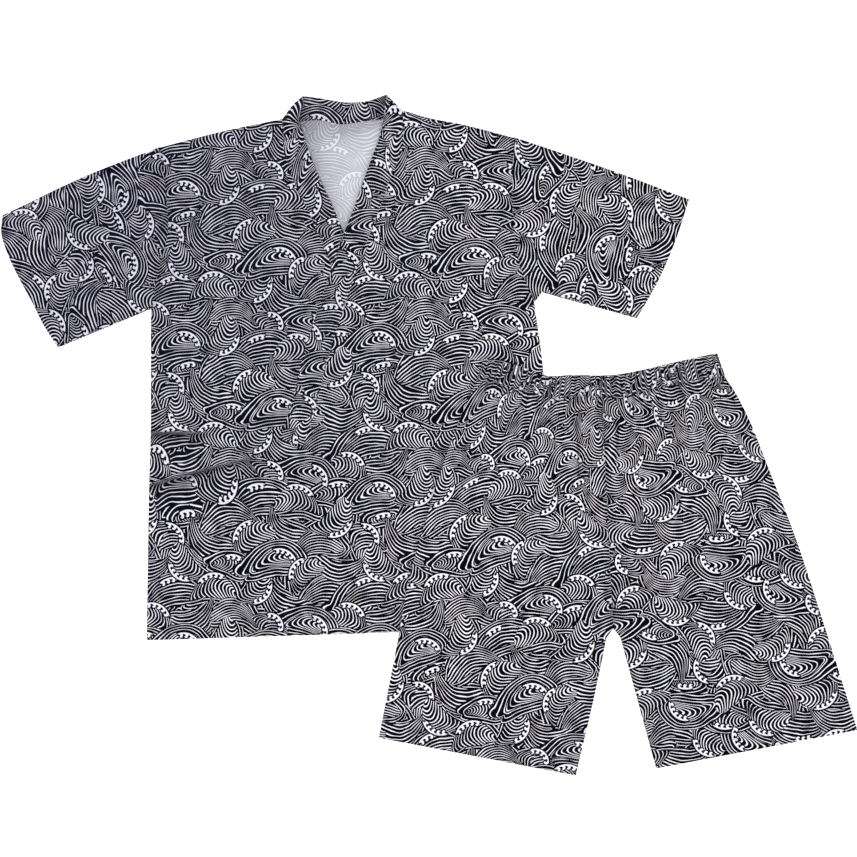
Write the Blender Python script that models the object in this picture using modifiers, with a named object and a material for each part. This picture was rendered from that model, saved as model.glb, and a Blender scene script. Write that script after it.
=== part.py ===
# A jinbei set laid flat: a short-sleeved wrap top with its shorts lying over its lower corner.
# X runs towards the wearer's left side, Y from the hems to the collar, Z up from the surface it lies on.
# Places in the tables are (x, y) in millimetres. OUTLINE_MIDDLE is the middle of the outline, moved to (0, 0).
import bpy
import numpy as np

MM = 0.001

# Cloth and seams, in millimetres
CLOTH = 1.2             # wall of one layer of cotton
BAND_CLOTH = 1.5        # wall of the collar band, folded double and pressed
SEAM_GAP = 0.3          # between two pieces that are sewn or lie on each other
BAND_WIDTH = 34.5       # collar band, seam to free edge
GATHERS = 48            # gathers across the front of the casing
GATHER_RISE = 1.1       # crest of a gather above its trough
FLARES = 4              # soft folds that fall from the casing on each front leg
FLARE_RISE = 3.6
FLARE_FADE = (0.42, 0.92)   # shares of the leg's height, hem to casing, over which a flare comes up
FOLD_FADE = (0.25, 0.45)    # shares of a fold's length over which it rises at its start and dies at its end
BAND_PULL_START = 0.72      # share of a band's length from which its free edge draws in to the neck

# Layers: height of each layer's underside
FRONT_BASE = CLOTH + SEAM_GAP
OVER_BASE = FRONT_BASE + BAND_CLOTH + SEAM_GAP
SHORTS_BASE = FRONT_BASE + CLOTH + SEAM_GAP
STEP_CLEAR = 12.0       # an upper layer stays up this far past the edge that it lies over
OVER_STEP = 33.0        # run in which the left front comes down past the right front's edge
SHORTS_STEP = 42.0      # run in which the shorts come down past the edge of the top
COLLAR_STEP = 26.0      # run in which the back collar rises to meet the front bands

OUTLINE_MIDDLE = (1.0, 0.0)

COTTON = {"colour": (0.19, 0.19, 0.23, 1.0), "roughness": 0.85, "metallic": 0.0}

# Top, body. Right and left are the wearer's.
HEM_RIGHT = (-404, -294)
HEM_LEFT = (173, -276)
SIDE_RIGHT_WAIST = (-398, 12)
UNDERARM_RIGHT = (-398, 182)
SHOULDER_TIP_RIGHT = (-386, 412)
NECK_RIGHT = (-210, 453)
UNDERARM_LEFT = (151, 192)
SHOULDER_TIP_LEFT = (123, 426)
NECK_LEFT = (-35, 465)
SHOULDER_RIGHT = [SHOULDER_TIP_RIGHT, (-297, 435), NECK_RIGHT]
SHOULDER_LEFT = [NECK_LEFT, (3, 454), (45, 446), SHOULDER_TIP_LEFT]
SIDE_RIGHT_LOW = (-401, -90)
SIDE_LEFT = [HEM_LEFT, (169, -93), (165, 86), (160, 129), UNDERARM_LEFT]
ARMHOLE_RIGHT = [UNDERARM_RIGHT, (-386, 240), (-374, 290), (-376, 343), SHOULDER_TIP_RIGHT]
ARMHOLE_LEFT = [UNDERARM_LEFT, (133, 237), (123, 287), (120, 359), SHOULDER_TIP_LEFT]

# Top, fronts. The right front lies under the left one and the hidden part of its edge is straight.
RIGHT_EDGE_HEM = (-87, -284)
RIGHT_EDGE_LOW = (-85, -90)
RIGHT_EDGE_WAIST = (-83, -16)
RIGHT_BAND_SEAM = [RIGHT_EDGE_WAIST, (-93, 57), (-108, 122), (-124, 190), (-137, 237), (-150, 268),
                   (-169, 313), (-195, 368), (-208, 409), NECK_RIGHT]
OVER_LIMIT_LOW = [RIGHT_EDGE_HEM, (-81, -70), (-50, -18)]   # from here the left front may come down
LEFT_EDGE_HEM = (-167, -284)
LEFT_EDGE_WAIST = (-180, -16)
LEFT_FRONT_EDGE = [LEFT_EDGE_HEM, (-179, -184), (-185, -118), (-186, -65), LEFT_EDGE_WAIST]
LEFT_BAND_SEAM = [LEFT_EDGE_WAIST, (-163, 34), (-149, 92), (-126, 168), (-113, 207), (-97, 256),
                  (-85, 286), (-73, 317), (-57, 362), (-42, 399), (-36, 431), NECK_LEFT]

# Top, collar. Each front band turns about its pivot to meet the back band.
RIGHT_PIVOT = (-186, 451)
LEFT_PIVOT = (-64, 454)
RIGHT_FREE_TOP = (-184, 443)
LEFT_FREE_TOP = (-66, 445)
RIGHT_TURN = [NECK_RIGHT, (-192, 476), (-180, 486)]
LEFT_TURN = [NECK_LEFT, (-47, 475), (-60, 488)]
COLLAR_TOP = [(-180, 486), (-156, 483), (-111, 477), (-84, 480), (-60, 488)]
COLLAR_SEAM = [RIGHT_PIVOT, (-156, 452), (-121, 446), (-103, 449), LEFT_PIVOT]
BACK_NECK_RIGHT = (-206, 453)
BACK_NECK_LEFT = (-40, 462)
BACK_SHOULDER_RIGHT = [SHOULDER_TIP_RIGHT, (-297, 435), BACK_NECK_RIGHT]
BACK_SHOULDER_LEFT = [BACK_NECK_LEFT, (3, 453), (45, 446), SHOULDER_TIP_LEFT]

# Top, sleeves
CUFF_RIGHT = [(-532, 127), (-552, 158), (-569, 192), (-588, 227), (-604, 261), (-613, 293), (-611, 314)]
CUFF_LEFT = [(299, 169), (313, 192), (332, 227), (347, 261), (360, 296), (373, 337)]
SLEEVE_TOP_RIGHT = [CUFF_RIGHT[-1], (-498, 368), SHOULDER_TIP_RIGHT]
SLEEVE_TOP_LEFT = [SHOULDER_TIP_LEFT, (195, 402), (281, 372), CUFF_LEFT[-1]]
SLEEVE_LOW_LEFT = [(152.5, 192.6), (162, 206), CUFF_LEFT[0]]   # turns sharply at its second point

# Shorts
WAIST = [(81, 108), (108, 103), (131, 98), (149, 91), (167, 85), (210, 86), (248, 85), (275, 87),
         (302, 92), (340, 101), (376, 109), (413, 117)]
CASING_SEAM = [(70, 78), (100, 72), (129, 65), (167, 55), (210, 55), (249, 55), (278, 57), (308, 62),
               (345, 70), (386, 79), (424, 85)]
CASING_MIDDLE = 249.0
CROTCH = (265, -277)
RIGHT_LEG_OUTSEAM = [(-71, -434), (-41, -280), (-28, -208), (-8, -138), (19, -50), (47, 27), (70, 78)]
RIGHT_LEG_INSEAM = [(211, -488), (238, -373), (255, -291)]   # straight, then rounded off into the crotch
LEFT_LEG_INSEAM = [(327, -478), (276, -291)]
LEFT_LEG_OUTSEAM = [(615, -423), (567, -271), (523, -138), (488, -49), (456, 30), (435, 69), (424, 85)]
CENTRE_SEAM = [CROTCH, (255, -79), (CASING_MIDDLE, 55)]

# Soft folds that stand up from a panel: start and end of the crest, half width and height
FOLD_COLUMNS = ("start", "end", "half_width", "height")
RIGHT_FRONT_FOLDS = [
    ((-404, -66), (-228, -22), 13, 5.0),   # long fold pulled in at the waist
    ((-404, 4), (-300, 2), 12, 4.0),       # short fold above it
    ((-400, 150), (-300, 110), 17, 2.5),
    ((-370, 300), (-290, 215), 18, 2.5),
]
LEFT_FRONT_FOLDS = [
    ((118, 300), (40, 222), 18, 2.5),
    ((150, 165), (60, 150), 16, 2.2),
]
RIGHT_SLEEVE_FOLDS = [
    ((-420, 200), (-560, 215), 15, 3.2),
    ((-400, 300), (-520, 300), 17, 2.6),
]
LEFT_SLEEVE_FOLDS = [
    ((165, 225), (310, 235), 15, 3.2),
    ((150, 330), (280, 320), 17, 2.6),
]

# Cells of each panel's grid along its edges
CURVE_SAMPLES = 40      # to a knot, before a curve is cut into cells
ACROSS_BACK = 14
BACK_SIDE_CELLS = 6
BACK_SHOULDER_CELLS = 3
ACROSS_FRONT = 18
LOW_SIDE_CELLS = 4
WAIST_SIDE_CELLS = 8    # where the waist folds start
HIGH_SIDE_CELLS = 4
LEFT_SIDE_CELLS = 10
LEFT_EDGE_CELLS = 6
ARMHOLE_CELLS = 12
BAND_CELLS = 16
TURN_CELLS = 3
NECK_CELLS = 6
SLEEVE_CELLS = 14
LEG_ACROSS = 26
INSEAM_CELLS = 7
RISE_CELLS = 8
GATHER_COLUMNS = 4      # to a gather
BACK_GATHER_STEP = 8    # the back of the casing has every eighth column of its front
BACK_LEG_STEP = 2       # the back of a leg has every second column of its front


def curve(points, cells):
    """A smooth curve through the points, cut into cells of equal length."""
    knots = np.array(points, dtype=float)
    if len(knots) == 2:
        share = np.linspace(0.0, 1.0, cells + 1)[:, None]
        return knots[0] * (1 - share) + knots[1] * share
    chord = np.linalg.norm(np.diff(knots, axis=0), axis=1)
    at = np.concatenate([[0.0], np.cumsum(chord)])
    slope = np.gradient(knots, at, axis=0)
    fine = np.linspace(0.0, at[-1], CURVE_SAMPLES * len(knots))
    span = np.clip(np.searchsorted(at, fine, side="right") - 1, 0, len(chord) - 1)
    width = chord[span][:, None]
    t = ((fine - at[span]) / chord[span])[:, None]
    dense = ((2 * t**3 - 3 * t**2 + 1) * knots[span] + (t**3 - 2 * t**2 + t) * width * slope[span]
             + (3 * t**2 - 2 * t**3) * knots[span + 1] + (t**3 - t**2) * width * slope[span + 1])
    run = np.concatenate([[0.0], np.cumsum(np.linalg.norm(np.diff(dense, axis=0), axis=1))])
    wanted = np.linspace(0.0, run[-1], cells + 1)
    return np.stack([np.interp(wanted, run, dense[:, k]) for k in (0, 1)], axis=1)


def join(*runs):
    """Runs laid end to end, each starting where the last one ends."""
    return np.concatenate([runs[0]] + [run[1:] for run in runs[1:]])


def beside(edge, distance):
    """The edge moved to its left by the distance, square to its own direction."""
    along = np.gradient(edge, axis=0)
    along /= np.linalg.norm(along, axis=1)[:, None]
    return edge + distance * np.stack([-along[:, 1], along[:, 0]], axis=1)


def patch(bottom, top, left, right):
    """A plan grid between four edges: the blend of both pairs less the blend of the corners."""
    u = np.linspace(0.0, 1.0, len(bottom))[:, None, None]
    v = np.linspace(0.0, 1.0, len(left))[None, :, None]
    corners = ((1 - u) * (1 - v) * bottom[0] + u * (1 - v) * bottom[-1]
               + (1 - u) * v * top[0] + u * v * top[-1])
    return ((1 - v) * bottom[:, None] + v * top[:, None]
            + (1 - u) * left[None] + u * right[None] - corners)


def ease(start, end, x):
    """0 before start, 1 after end, smooth between."""
    t = np.clip((x - start) / (end - start), 0.0, 1.0)
    return t * t * (3 - 2 * t)


def fold_rise(plan, folds):
    """Height of the soft folds at each point of the plan; each one fades towards its ends."""
    rise = np.zeros(plan.shape[:2])
    for row in folds:
        fold = dict(zip(FOLD_COLUMNS, row))
        start, end = np.array(fold["start"], float), np.array(fold["end"], float)
        run = end - start
        share = np.clip(((plan - start) @ run) / (run @ run), 0.0, 1.0)
        away = np.linalg.norm(plan - start - share[..., None] * run, axis=-1)
        fade = ease(0.0, FOLD_FADE[0], share) * ease(0.0, FOLD_FADE[1], 1 - share)
        rise += fold["height"] * fade * np.exp(-(away / fold["half_width"]) ** 2)
    return rise


def lifted(plan, height):
    """The plan grid at a height, as points in millimetres."""
    return np.concatenate([plan - OUTLINE_MIDDLE, (np.zeros(plan.shape[:2]) + height)[..., None]], axis=2)


def cotton_material(name):
    material = bpy.data.materials.new(name + "_cotton")
    material.use_nodes = True
    shader = material.node_tree.nodes["Principled BSDF"]
    shader.inputs["Base Color"].default_value = COTTON["colour"]
    shader.inputs["Roughness"].default_value = COTTON["roughness"]
    shader.inputs["Metallic"].default_value = COTTON["metallic"]
    return material


def add_cloth(name, points, wall, outward, closed_round=False):
    """A grid surface given a wall: upwards from its underside, or inwards from a tube's outside."""
    around, along = points.shape[:2]
    verts = (points.reshape(-1, 3) * MM).tolist()
    faces = []
    for i in range(around if closed_round else around - 1):
        here, after = i * along, ((i + 1) % around) * along
        for j in range(along - 1):
            faces.append((here + j, after + j, after + j + 1, here + j + 1))
    mesh = bpy.data.meshes.new(name)
    mesh.from_pydata(verts, [], faces)
    mesh.materials.append(cotton_material(name))
    piece = bpy.data.objects.new(name, mesh)
    set_collection.objects.link(piece)
    solidify = piece.modifiers.new("Wall", "SOLIDIFY")
    solidify.thickness = wall * MM
    solidify.offset = outward
    solidify.use_even_offset = True
    return piece


def add_panel(name, plan, underside, wall=CLOTH):
    return add_cloth(name, lifted(plan, underside), wall, outward=1.0)


def tube_points(plan, top, low, back_step=1):
    """Outside of a flattened tube: front left to right, far fold, back right to left, near fold."""
    front = lifted(plan, top)
    back = lifted(plan, low)[::-1][::back_step]

    def fold(edge, inner):
        middle = (front[edge] + back[-1 if edge == 0 else 0]) / 2
        out = plan[edge] - plan[inner]
        half = front[edge][:, 2] - middle[:, 2]
        middle[:, :2] += out * (half / np.linalg.norm(out, axis=1))[:, None]
        return middle

    return np.concatenate([front, fold(-1, -2)[None], back, fold(0, 1)[None]])


# Edges that several pieces share
armhole_right = curve(ARMHOLE_RIGHT, ARMHOLE_CELLS)
armhole_left = curve(ARMHOLE_LEFT, ARMHOLE_CELLS)
band_seam_right = curve(RIGHT_BAND_SEAM, BAND_CELLS)
band_seam_left = curve(LEFT_BAND_SEAM, BAND_CELLS)
collar_seam = curve(COLLAR_SEAM, NECK_CELLS)
centre_seam = curve(CENTRE_SEAM, RISE_CELLS)


def band_free_edge(seam, side, top):
    """The band's free edge: its width away from its seam, and drawn in to its top point at the neck."""
    edge = beside(seam, side * BAND_WIDTH)
    pull = ease(BAND_PULL_START, 1.0, np.linspace(0.0, 1.0, len(edge)))[:, None]
    return edge * (1 - pull) + np.array(top, float) * pull


free_right = band_free_edge(band_seam_right, -1, RIGHT_FREE_TOP)
free_left = band_free_edge(band_seam_left, 1, LEFT_FREE_TOP)


def over_cover(plan):
    """1 where the left front lies over the right one, 0 well past the right front's free edge."""
    limit = np.concatenate([OVER_LIMIT_LOW, free_right])
    limit_x = np.interp(plan[..., 1], limit[:, 1], limit[:, 0])
    return 1 - ease(STEP_CLEAR, STEP_CLEAR + OVER_STEP, plan[..., 0] - limit_x)


def shorts_cover(plan):
    """1 where the shorts lie on the top, 0 well outside its side seam and hem."""
    side = np.array(SIDE_LEFT, float)
    past_side = plan[..., 0] - np.interp(plan[..., 1], side[:, 1], side[:, 0])
    hem_x, hem_y = zip(HEM_RIGHT, HEM_LEFT)
    past_hem = np.interp(plan[..., 0], hem_x, hem_y) - plan[..., 1]
    past = np.hypot(np.maximum(past_side, 0.0), np.maximum(past_hem, 0.0))
    return 1 - ease(STEP_CLEAR, STEP_CLEAR + SHORTS_STEP, past)


def make_top_back():
    hem = curve([HEM_RIGHT, HEM_LEFT], ACROSS_BACK)
    right = join(curve([HEM_RIGHT, SIDE_RIGHT_WAIST, UNDERARM_RIGHT], BACK_SIDE_CELLS), armhole_right)
    left = join(curve(SIDE_LEFT, BACK_SIDE_CELLS), armhole_left)
    neck = collar_seam - (0.0, SEAM_GAP)
    top = join(curve(BACK_SHOULDER_RIGHT, BACK_SHOULDER_CELLS), curve([BACK_NECK_RIGHT, neck[0]], 1), neck,
               curve([neck[-1], BACK_NECK_LEFT], 1), curve(BACK_SHOULDER_LEFT, BACK_SHOULDER_CELLS))
    add_panel("top_back", patch(hem, top, right, left), 0.0)


def make_top_fronts():
    right_side = join(curve([HEM_RIGHT, SIDE_RIGHT_LOW], LOW_SIDE_CELLS),
                      curve([SIDE_RIGHT_LOW, SIDE_RIGHT_WAIST], WAIST_SIDE_CELLS),
                      curve([SIDE_RIGHT_WAIST, UNDERARM_RIGHT], HIGH_SIDE_CELLS), armhole_right)
    right_edge = join(curve([RIGHT_EDGE_HEM, RIGHT_EDGE_LOW], LOW_SIDE_CELLS),
                      curve([RIGHT_EDGE_LOW, RIGHT_EDGE_WAIST], WAIST_SIDE_CELLS), band_seam_right)
    plan = patch(curve([HEM_RIGHT, RIGHT_EDGE_HEM], ACROSS_FRONT),
                 curve(SHOULDER_RIGHT, ACROSS_FRONT), right_side, right_edge)
    add_panel("top_front_right", plan, FRONT_BASE + fold_rise(plan, RIGHT_FRONT_FOLDS))

    plan = patch(curve([LEFT_EDGE_HEM, HEM_LEFT], ACROSS_FRONT), curve(SHOULDER_LEFT, ACROSS_FRONT),
                 join(curve(LEFT_FRONT_EDGE, LEFT_EDGE_CELLS), band_seam_left),
                 join(curve(SIDE_LEFT, LEFT_SIDE_CELLS), armhole_left))
    step = (OVER_BASE - FRONT_BASE) * over_cover(plan)
    add_panel("top_front_left", plan, FRONT_BASE + step + fold_rise(plan, LEFT_FRONT_FOLDS))


def make_collar():
    seam = join(band_seam_right, curve(RIGHT_TURN, TURN_CELLS))
    free = join(free_right, curve([free_right[-1], RIGHT_PIVOT], TURN_CELLS))
    seam = beside(seam, -SEAM_GAP)
    plan = np.stack([seam, (seam + free) / 2, free])
    add_panel("top_collar_right", plan, FRONT_BASE, BAND_CLOTH)

    seam = join(band_seam_left, curve(LEFT_TURN, TURN_CELLS))
    free = join(free_left, curve([free_left[-1], LEFT_PIVOT], TURN_CELLS))
    seam = beside(seam, SEAM_GAP)
    plan = np.stack([free, (seam + free) / 2, seam])
    step = (OVER_BASE - FRONT_BASE) * over_cover(plan)
    add_panel("top_collar_left", plan, FRONT_BASE + step, BAND_CLOTH)

    top = curve(COLLAR_TOP, NECK_CELLS)
    plan = np.stack([collar_seam, (collar_seam + top) / 2, top], axis=1)
    plan[..., 0] += np.linspace(2 * SEAM_GAP, -2 * SEAM_GAP, NECK_CELLS + 1)[:, None]
    from_end = np.minimum(plan[..., 0] - RIGHT_PIVOT[0], LEFT_PIVOT[0] - plan[..., 0])
    rise = FRONT_BASE * (1 - ease(0.0, COLLAR_STEP, from_end))
    add_panel("top_collar_back", plan, rise, BAND_CLOTH)


def make_sleeves():
    armhole = armhole_right - (SEAM_GAP, 0.0)
    plan = patch(curve([CUFF_RIGHT[0], armhole[0]], SLEEVE_CELLS),
                 curve(SLEEVE_TOP_RIGHT[:-1] + [armhole[-1]], SLEEVE_CELLS),
                 curve(CUFF_RIGHT, ARMHOLE_CELLS), armhole)
    ring = plan[::-1].transpose(1, 0, 2)
    top = FRONT_BASE + CLOTH + fold_rise(ring, RIGHT_SLEEVE_FOLDS)
    add_cloth("top_sleeve_right", tube_points(ring, top, 0.0), CLOTH, outward=-1.0, closed_round=True)

    armhole = armhole_left + (SEAM_GAP, 0.0)
    armhole[0] = SLEEVE_LOW_LEFT[0]
    low_edge = join(curve(SLEEVE_LOW_LEFT[:2], 1), curve(SLEEVE_LOW_LEFT[1:], SLEEVE_CELLS - 1))
    plan = patch(low_edge, curve([armhole[-1]] + SLEEVE_TOP_LEFT[1:], SLEEVE_CELLS),
                 armhole, curve(CUFF_LEFT, ARMHOLE_CELLS))
    ring = plan[::-1].transpose(1, 0, 2)
    top = FRONT_BASE + CLOTH + fold_rise(ring, LEFT_SLEEVE_FOLDS)
    add_cloth("top_sleeve_left", tube_points(ring, top, 0.0), CLOTH, outward=-1.0, closed_round=True)


def make_waistband():
    columns = GATHER_COLUMNS * GATHERS
    seam = curve(CASING_SEAM, columns) + (0.0, SEAM_GAP)
    edge = curve(WAIST, columns)
    plan = np.stack([seam, (seam + edge) / 2, edge], axis=1)
    low = SHORTS_BASE * shorts_cover(plan)
    crest = GATHER_RISE * (0.5 - 0.5 * np.cos(2 * np.pi * np.arange(columns + 1) / GATHER_COLUMNS))[:, None]
    top = low + FRONT_BASE + SEAM_GAP + CLOTH + crest
    add_cloth("shorts_waistband", tube_points(plan, top, low, BACK_GATHER_STEP), CLOTH, outward=-1.0,
              closed_round=True)


def leg_plan(outseam, inseam, hem_ends, casing, outer_first, centre):
    """Plan of one leg: hem below, casing seam above, the outseam on one side, inseam and rise on the other."""
    outer = curve(outseam, INSEAM_CELLS + RISE_CELLS)
    inner = join(curve(inseam, INSEAM_CELLS - 1), curve([inseam[-1], centre[0]], 1), centre)
    hem = curve(hem_ends, LEG_ACROSS)
    left, right = (outer, inner) if outer_first else (inner, outer)
    return patch(hem, casing, left, right)


def make_legs():
    half = len(CASING_SEAM) // 2
    casing_right = curve(CASING_SEAM[:half + 1], LEG_ACROSS)
    casing_left = curve(CASING_SEAM[half:], LEG_ACROSS)
    shift = np.array([SEAM_GAP, 0.0])
    casing_left[0] += shift
    plans = {
        "right": leg_plan(RIGHT_LEG_OUTSEAM, RIGHT_LEG_INSEAM, [RIGHT_LEG_OUTSEAM[0], RIGHT_LEG_INSEAM[0]],
                          casing_right, True, centre_seam),
        "left": leg_plan(LEFT_LEG_OUTSEAM, LEFT_LEG_INSEAM, [LEFT_LEG_INSEAM[0], LEFT_LEG_OUTSEAM[0]],
                         casing_left, False, centre_seam + shift),
    }
    flat_cell = 1.0 / LEG_ACROSS
    share = np.clip((np.linspace(0.0, 1.0, LEG_ACROSS + 1) - flat_cell) / (1 - 2 * flat_cell), 0.0, 1.0)
    waves = 0.5 - 0.5 * np.cos(2 * np.pi * FLARES * share)
    fall = ease(*FLARE_FADE, np.linspace(0.0, 1.0, INSEAM_CELLS + RISE_CELLS + 1))
    flare = FLARE_RISE * waves[:, None] * fall[None, :]
    for side, plan in plans.items():
        low = SHORTS_BASE * shorts_cover(plan)
        add_panel(f"shorts_{side}_back", plan[::BACK_LEG_STEP], low[::BACK_LEG_STEP])
        add_panel(f"shorts_{side}_front", plan, low + FRONT_BASE + SEAM_GAP + flare)


for old in list(bpy.data.objects):
    bpy.data.objects.remove(old, do_unlink=True)
set_collection = bpy.data.collections.new("jinbei_set")
bpy.context.scene.collection.children.link(set_collection)

make_top_back()
make_top_fronts()
make_collar()
make_sleeves()
make_waistband()
make_legs()
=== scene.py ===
import bpy
import numpy as np
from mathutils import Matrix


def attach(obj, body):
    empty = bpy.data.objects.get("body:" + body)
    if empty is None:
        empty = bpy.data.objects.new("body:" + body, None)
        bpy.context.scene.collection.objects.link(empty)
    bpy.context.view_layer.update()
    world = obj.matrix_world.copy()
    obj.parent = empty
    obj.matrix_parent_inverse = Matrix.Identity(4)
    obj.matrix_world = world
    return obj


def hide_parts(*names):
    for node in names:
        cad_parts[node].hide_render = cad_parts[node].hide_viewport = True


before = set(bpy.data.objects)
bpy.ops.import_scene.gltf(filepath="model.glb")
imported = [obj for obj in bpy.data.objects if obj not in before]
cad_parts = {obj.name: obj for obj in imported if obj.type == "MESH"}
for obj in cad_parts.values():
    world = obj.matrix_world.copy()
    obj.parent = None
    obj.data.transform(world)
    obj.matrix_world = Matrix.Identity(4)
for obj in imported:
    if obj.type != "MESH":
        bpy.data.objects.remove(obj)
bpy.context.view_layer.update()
print("frame loaded:", len(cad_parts), "nodes")

# Tables give places in mm on the surface that the set lies on.
# setMiddle is the place that goes to the origin.
mm = 0.001
setMiddle = np.array([1.0, 0.0])
cotton = {
    "wall": 1.2,          # one layer, mm
    "band": 1.5,          # the collar band, double and pressed
    "seam": 0.3,          # between two layers or two sewn edges
    "edgeRoll": 0.45,     # how far a cut or turned edge is rounded outwards
    "lip": 0.22,          # share of a border cell that goes to a narrow row beside the edge
    "ripple": 1.7,        # soft unevenness of cloth laid down by hand
    "pucker": 0.45,       # how far a seam sinks below the cloth beside it
}
frontBase = cotton["wall"] + cotton["seam"]
overStep = 2.3        # the left front and its band lie this much higher where they cross the right ones
shortsBase = 3.5      # height of the cloth under the shorts


def curveThrough(points, cells):
    # cubic through the points, its slope at each one taken over its neighbours, cut into equal cells
    knots = np.array(points, float)
    chord = np.linalg.norm(np.diff(knots, axis=0), axis=1)
    at = np.concatenate([[0.0], np.cumsum(chord)])
    slope = np.gradient(knots, at, axis=0)
    fine = np.linspace(0.0, at[-1], 60 * len(knots))
    span = np.clip(np.searchsorted(at, fine, side="right") - 1, 0, len(chord) - 1)
    width = chord[span][:, None]
    t = ((fine - at[span]) / chord[span])[:, None]
    dense = ((2 * t**3 - 3 * t**2 + 1) * knots[span] + (t**3 - 2 * t**2 + t) * width * slope[span]
             + (3 * t**2 - 2 * t**3) * knots[span + 1] + (t**3 - t**2) * width * slope[span + 1])
    run = np.concatenate([[0.0], np.cumsum(np.linalg.norm(np.diff(dense, axis=0), axis=1))])
    wanted = np.linspace(0.0, run[-1], cells + 1)
    return np.stack([np.interp(wanted, run, dense[:, k]) for k in (0, 1)], axis=1)


def endToEnd(*runs):
    # each run starts where the last one ends
    return np.concatenate([runs[0]] + [run[1:] for run in runs[1:]])


def beside(edge, distance):
    # the edge moved to its left, square to its own direction
    along = np.gradient(edge, axis=0)
    along /= np.linalg.norm(along, axis=1)[:, None]
    return edge + distance * np.stack([-along[:, 1], along[:, 0]], axis=1)


def ease(start, end, x):
    # 3t^2 - 2t^3, from 0 before start to 1 after end
    t = np.clip((x - start) / (end - start), 0.0, 1.0)
    return t * t * (3 - 2 * t)


def withLips(plan):
    # a narrow row beside each of the four edges, a set share of the border cell away, for crisp shading
    for axis in (0, 1):
        plan = np.moveaxis(plan, axis, 0)
        first = plan[0] + cotton["lip"] * (plan[1] - plan[0])
        last = plan[-1] + cotton["lip"] * (plan[-2] - plan[-1])
        plan = np.concatenate([plan[:1], first[None], plan[1:-1], last[None], plan[-1:]])
        plan = np.moveaxis(plan, 0, axis)
    return plan


def between(bottom, top, left, right):
    # plan(u, v) = bottom and top blended over v, plus left and right over u, less the blend of the corners
    u = np.linspace(0.0, 1.0, len(bottom))[:, None, None]
    v = np.linspace(0.0, 1.0, len(left))[None, :, None]
    corners = ((1 - u) * (1 - v) * bottom[0] + u * (1 - v) * bottom[-1]
               + (1 - u) * v * top[0] + u * v * top[-1])
    return withLips((1 - v) * bottom[:, None] + v * top[:, None]
                    + (1 - u) * left[None] + u * right[None] - corners)


def awayFrom(plan, lines):
    # distance from each point of the plan to the nearest of the lines, which are cut into steps of about 3 mm
    dense = []
    for line in lines:
        line = np.array(line, float)
        length = np.linalg.norm(np.diff(line, axis=0), axis=1).sum()
        dense.append(curveThrough(line, max(int(length / 3), 2)))
    dense = np.concatenate(dense)
    flat = plan.reshape(-1, 2)
    nearest = np.full(len(flat), 1e9)
    for part in np.array_split(dense, max(len(dense) // 60, 1)):
        gap = flat[:, None, :] - part[None]
        nearest = np.minimum(nearest, np.einsum("abc,abc->ab", gap, gap).min(axis=1))
    return np.sqrt(nearest).reshape(plan.shape[:-1])


def softLine(plan, lines, width, strength=1.0):
    # strength * exp(-(distance to the nearest line / width)^2)
    return strength * np.exp(-(awayFrom(plan, lines) / width) ** 2)


def ripple(plan, size, seed):
    # sum of five sine waves that cross each other, moved to lie between 0 and size
    shortest, longest = 70, 190       # mm
    turns = np.random.RandomState(seed)
    total = np.zeros(plan.shape[:-1])
    for wavelength in np.linspace(shortest, longest, 5):
        angle, start = turns.uniform(0, 2 * np.pi, 2)
        along = plan @ [np.cos(angle), np.sin(angle)]
        total += np.sin(2 * np.pi * along / wavelength + start) * wavelength / longest
    return size * np.clip(0.5 + total / 5.5, 0.0, 1.0)


def foldRise(plan, folds):
    # ridges: height * exp(-(distance / half width)^2), faded at both ends, narrower on the side that leans
    rise = np.zeros(plan.shape[:-1])
    for start, end, halfWidth, height, lean in folds:
        start, end = np.array(start, float), np.array(end, float)
        run = end - start
        share = np.clip(((plan - start) @ run) / (run @ run), 0.0, 1.0)
        off = plan - start - share[..., None] * run
        leftOf = np.sign(off @ np.array([-run[1], run[0]]))
        width = halfWidth * (1 + lean * leftOf)
        fade = ease(0.0, 0.3, share) * ease(0.0, 0.45, 1 - share)
        rise += height * fade * np.exp(-(np.linalg.norm(off, axis=-1) / width) ** 2)
    return rise


def raised(plan, height):
    # (x, y) less the set's middle, with the height as z, in metres
    z = np.zeros(plan.shape[:-1]) + height
    return np.concatenate([plan - setMiddle, z[..., None]], axis=-1) * mm


def gridQuads(rows, cols, first, closed=False):
    # corners (i, j), (i + 1, j), (i + 1, j + 1), (i, j + 1), anticlockwise seen from the outside
    i, j = np.meshgrid(np.arange(rows if closed else rows - 1), np.arange(cols - 1), indexing="ij")
    here, after = first + i * cols + j, first + (i + 1) % rows * cols + j
    return np.stack([here, after, after + 1, here + 1], axis=-1).reshape(-1, 4)


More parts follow.
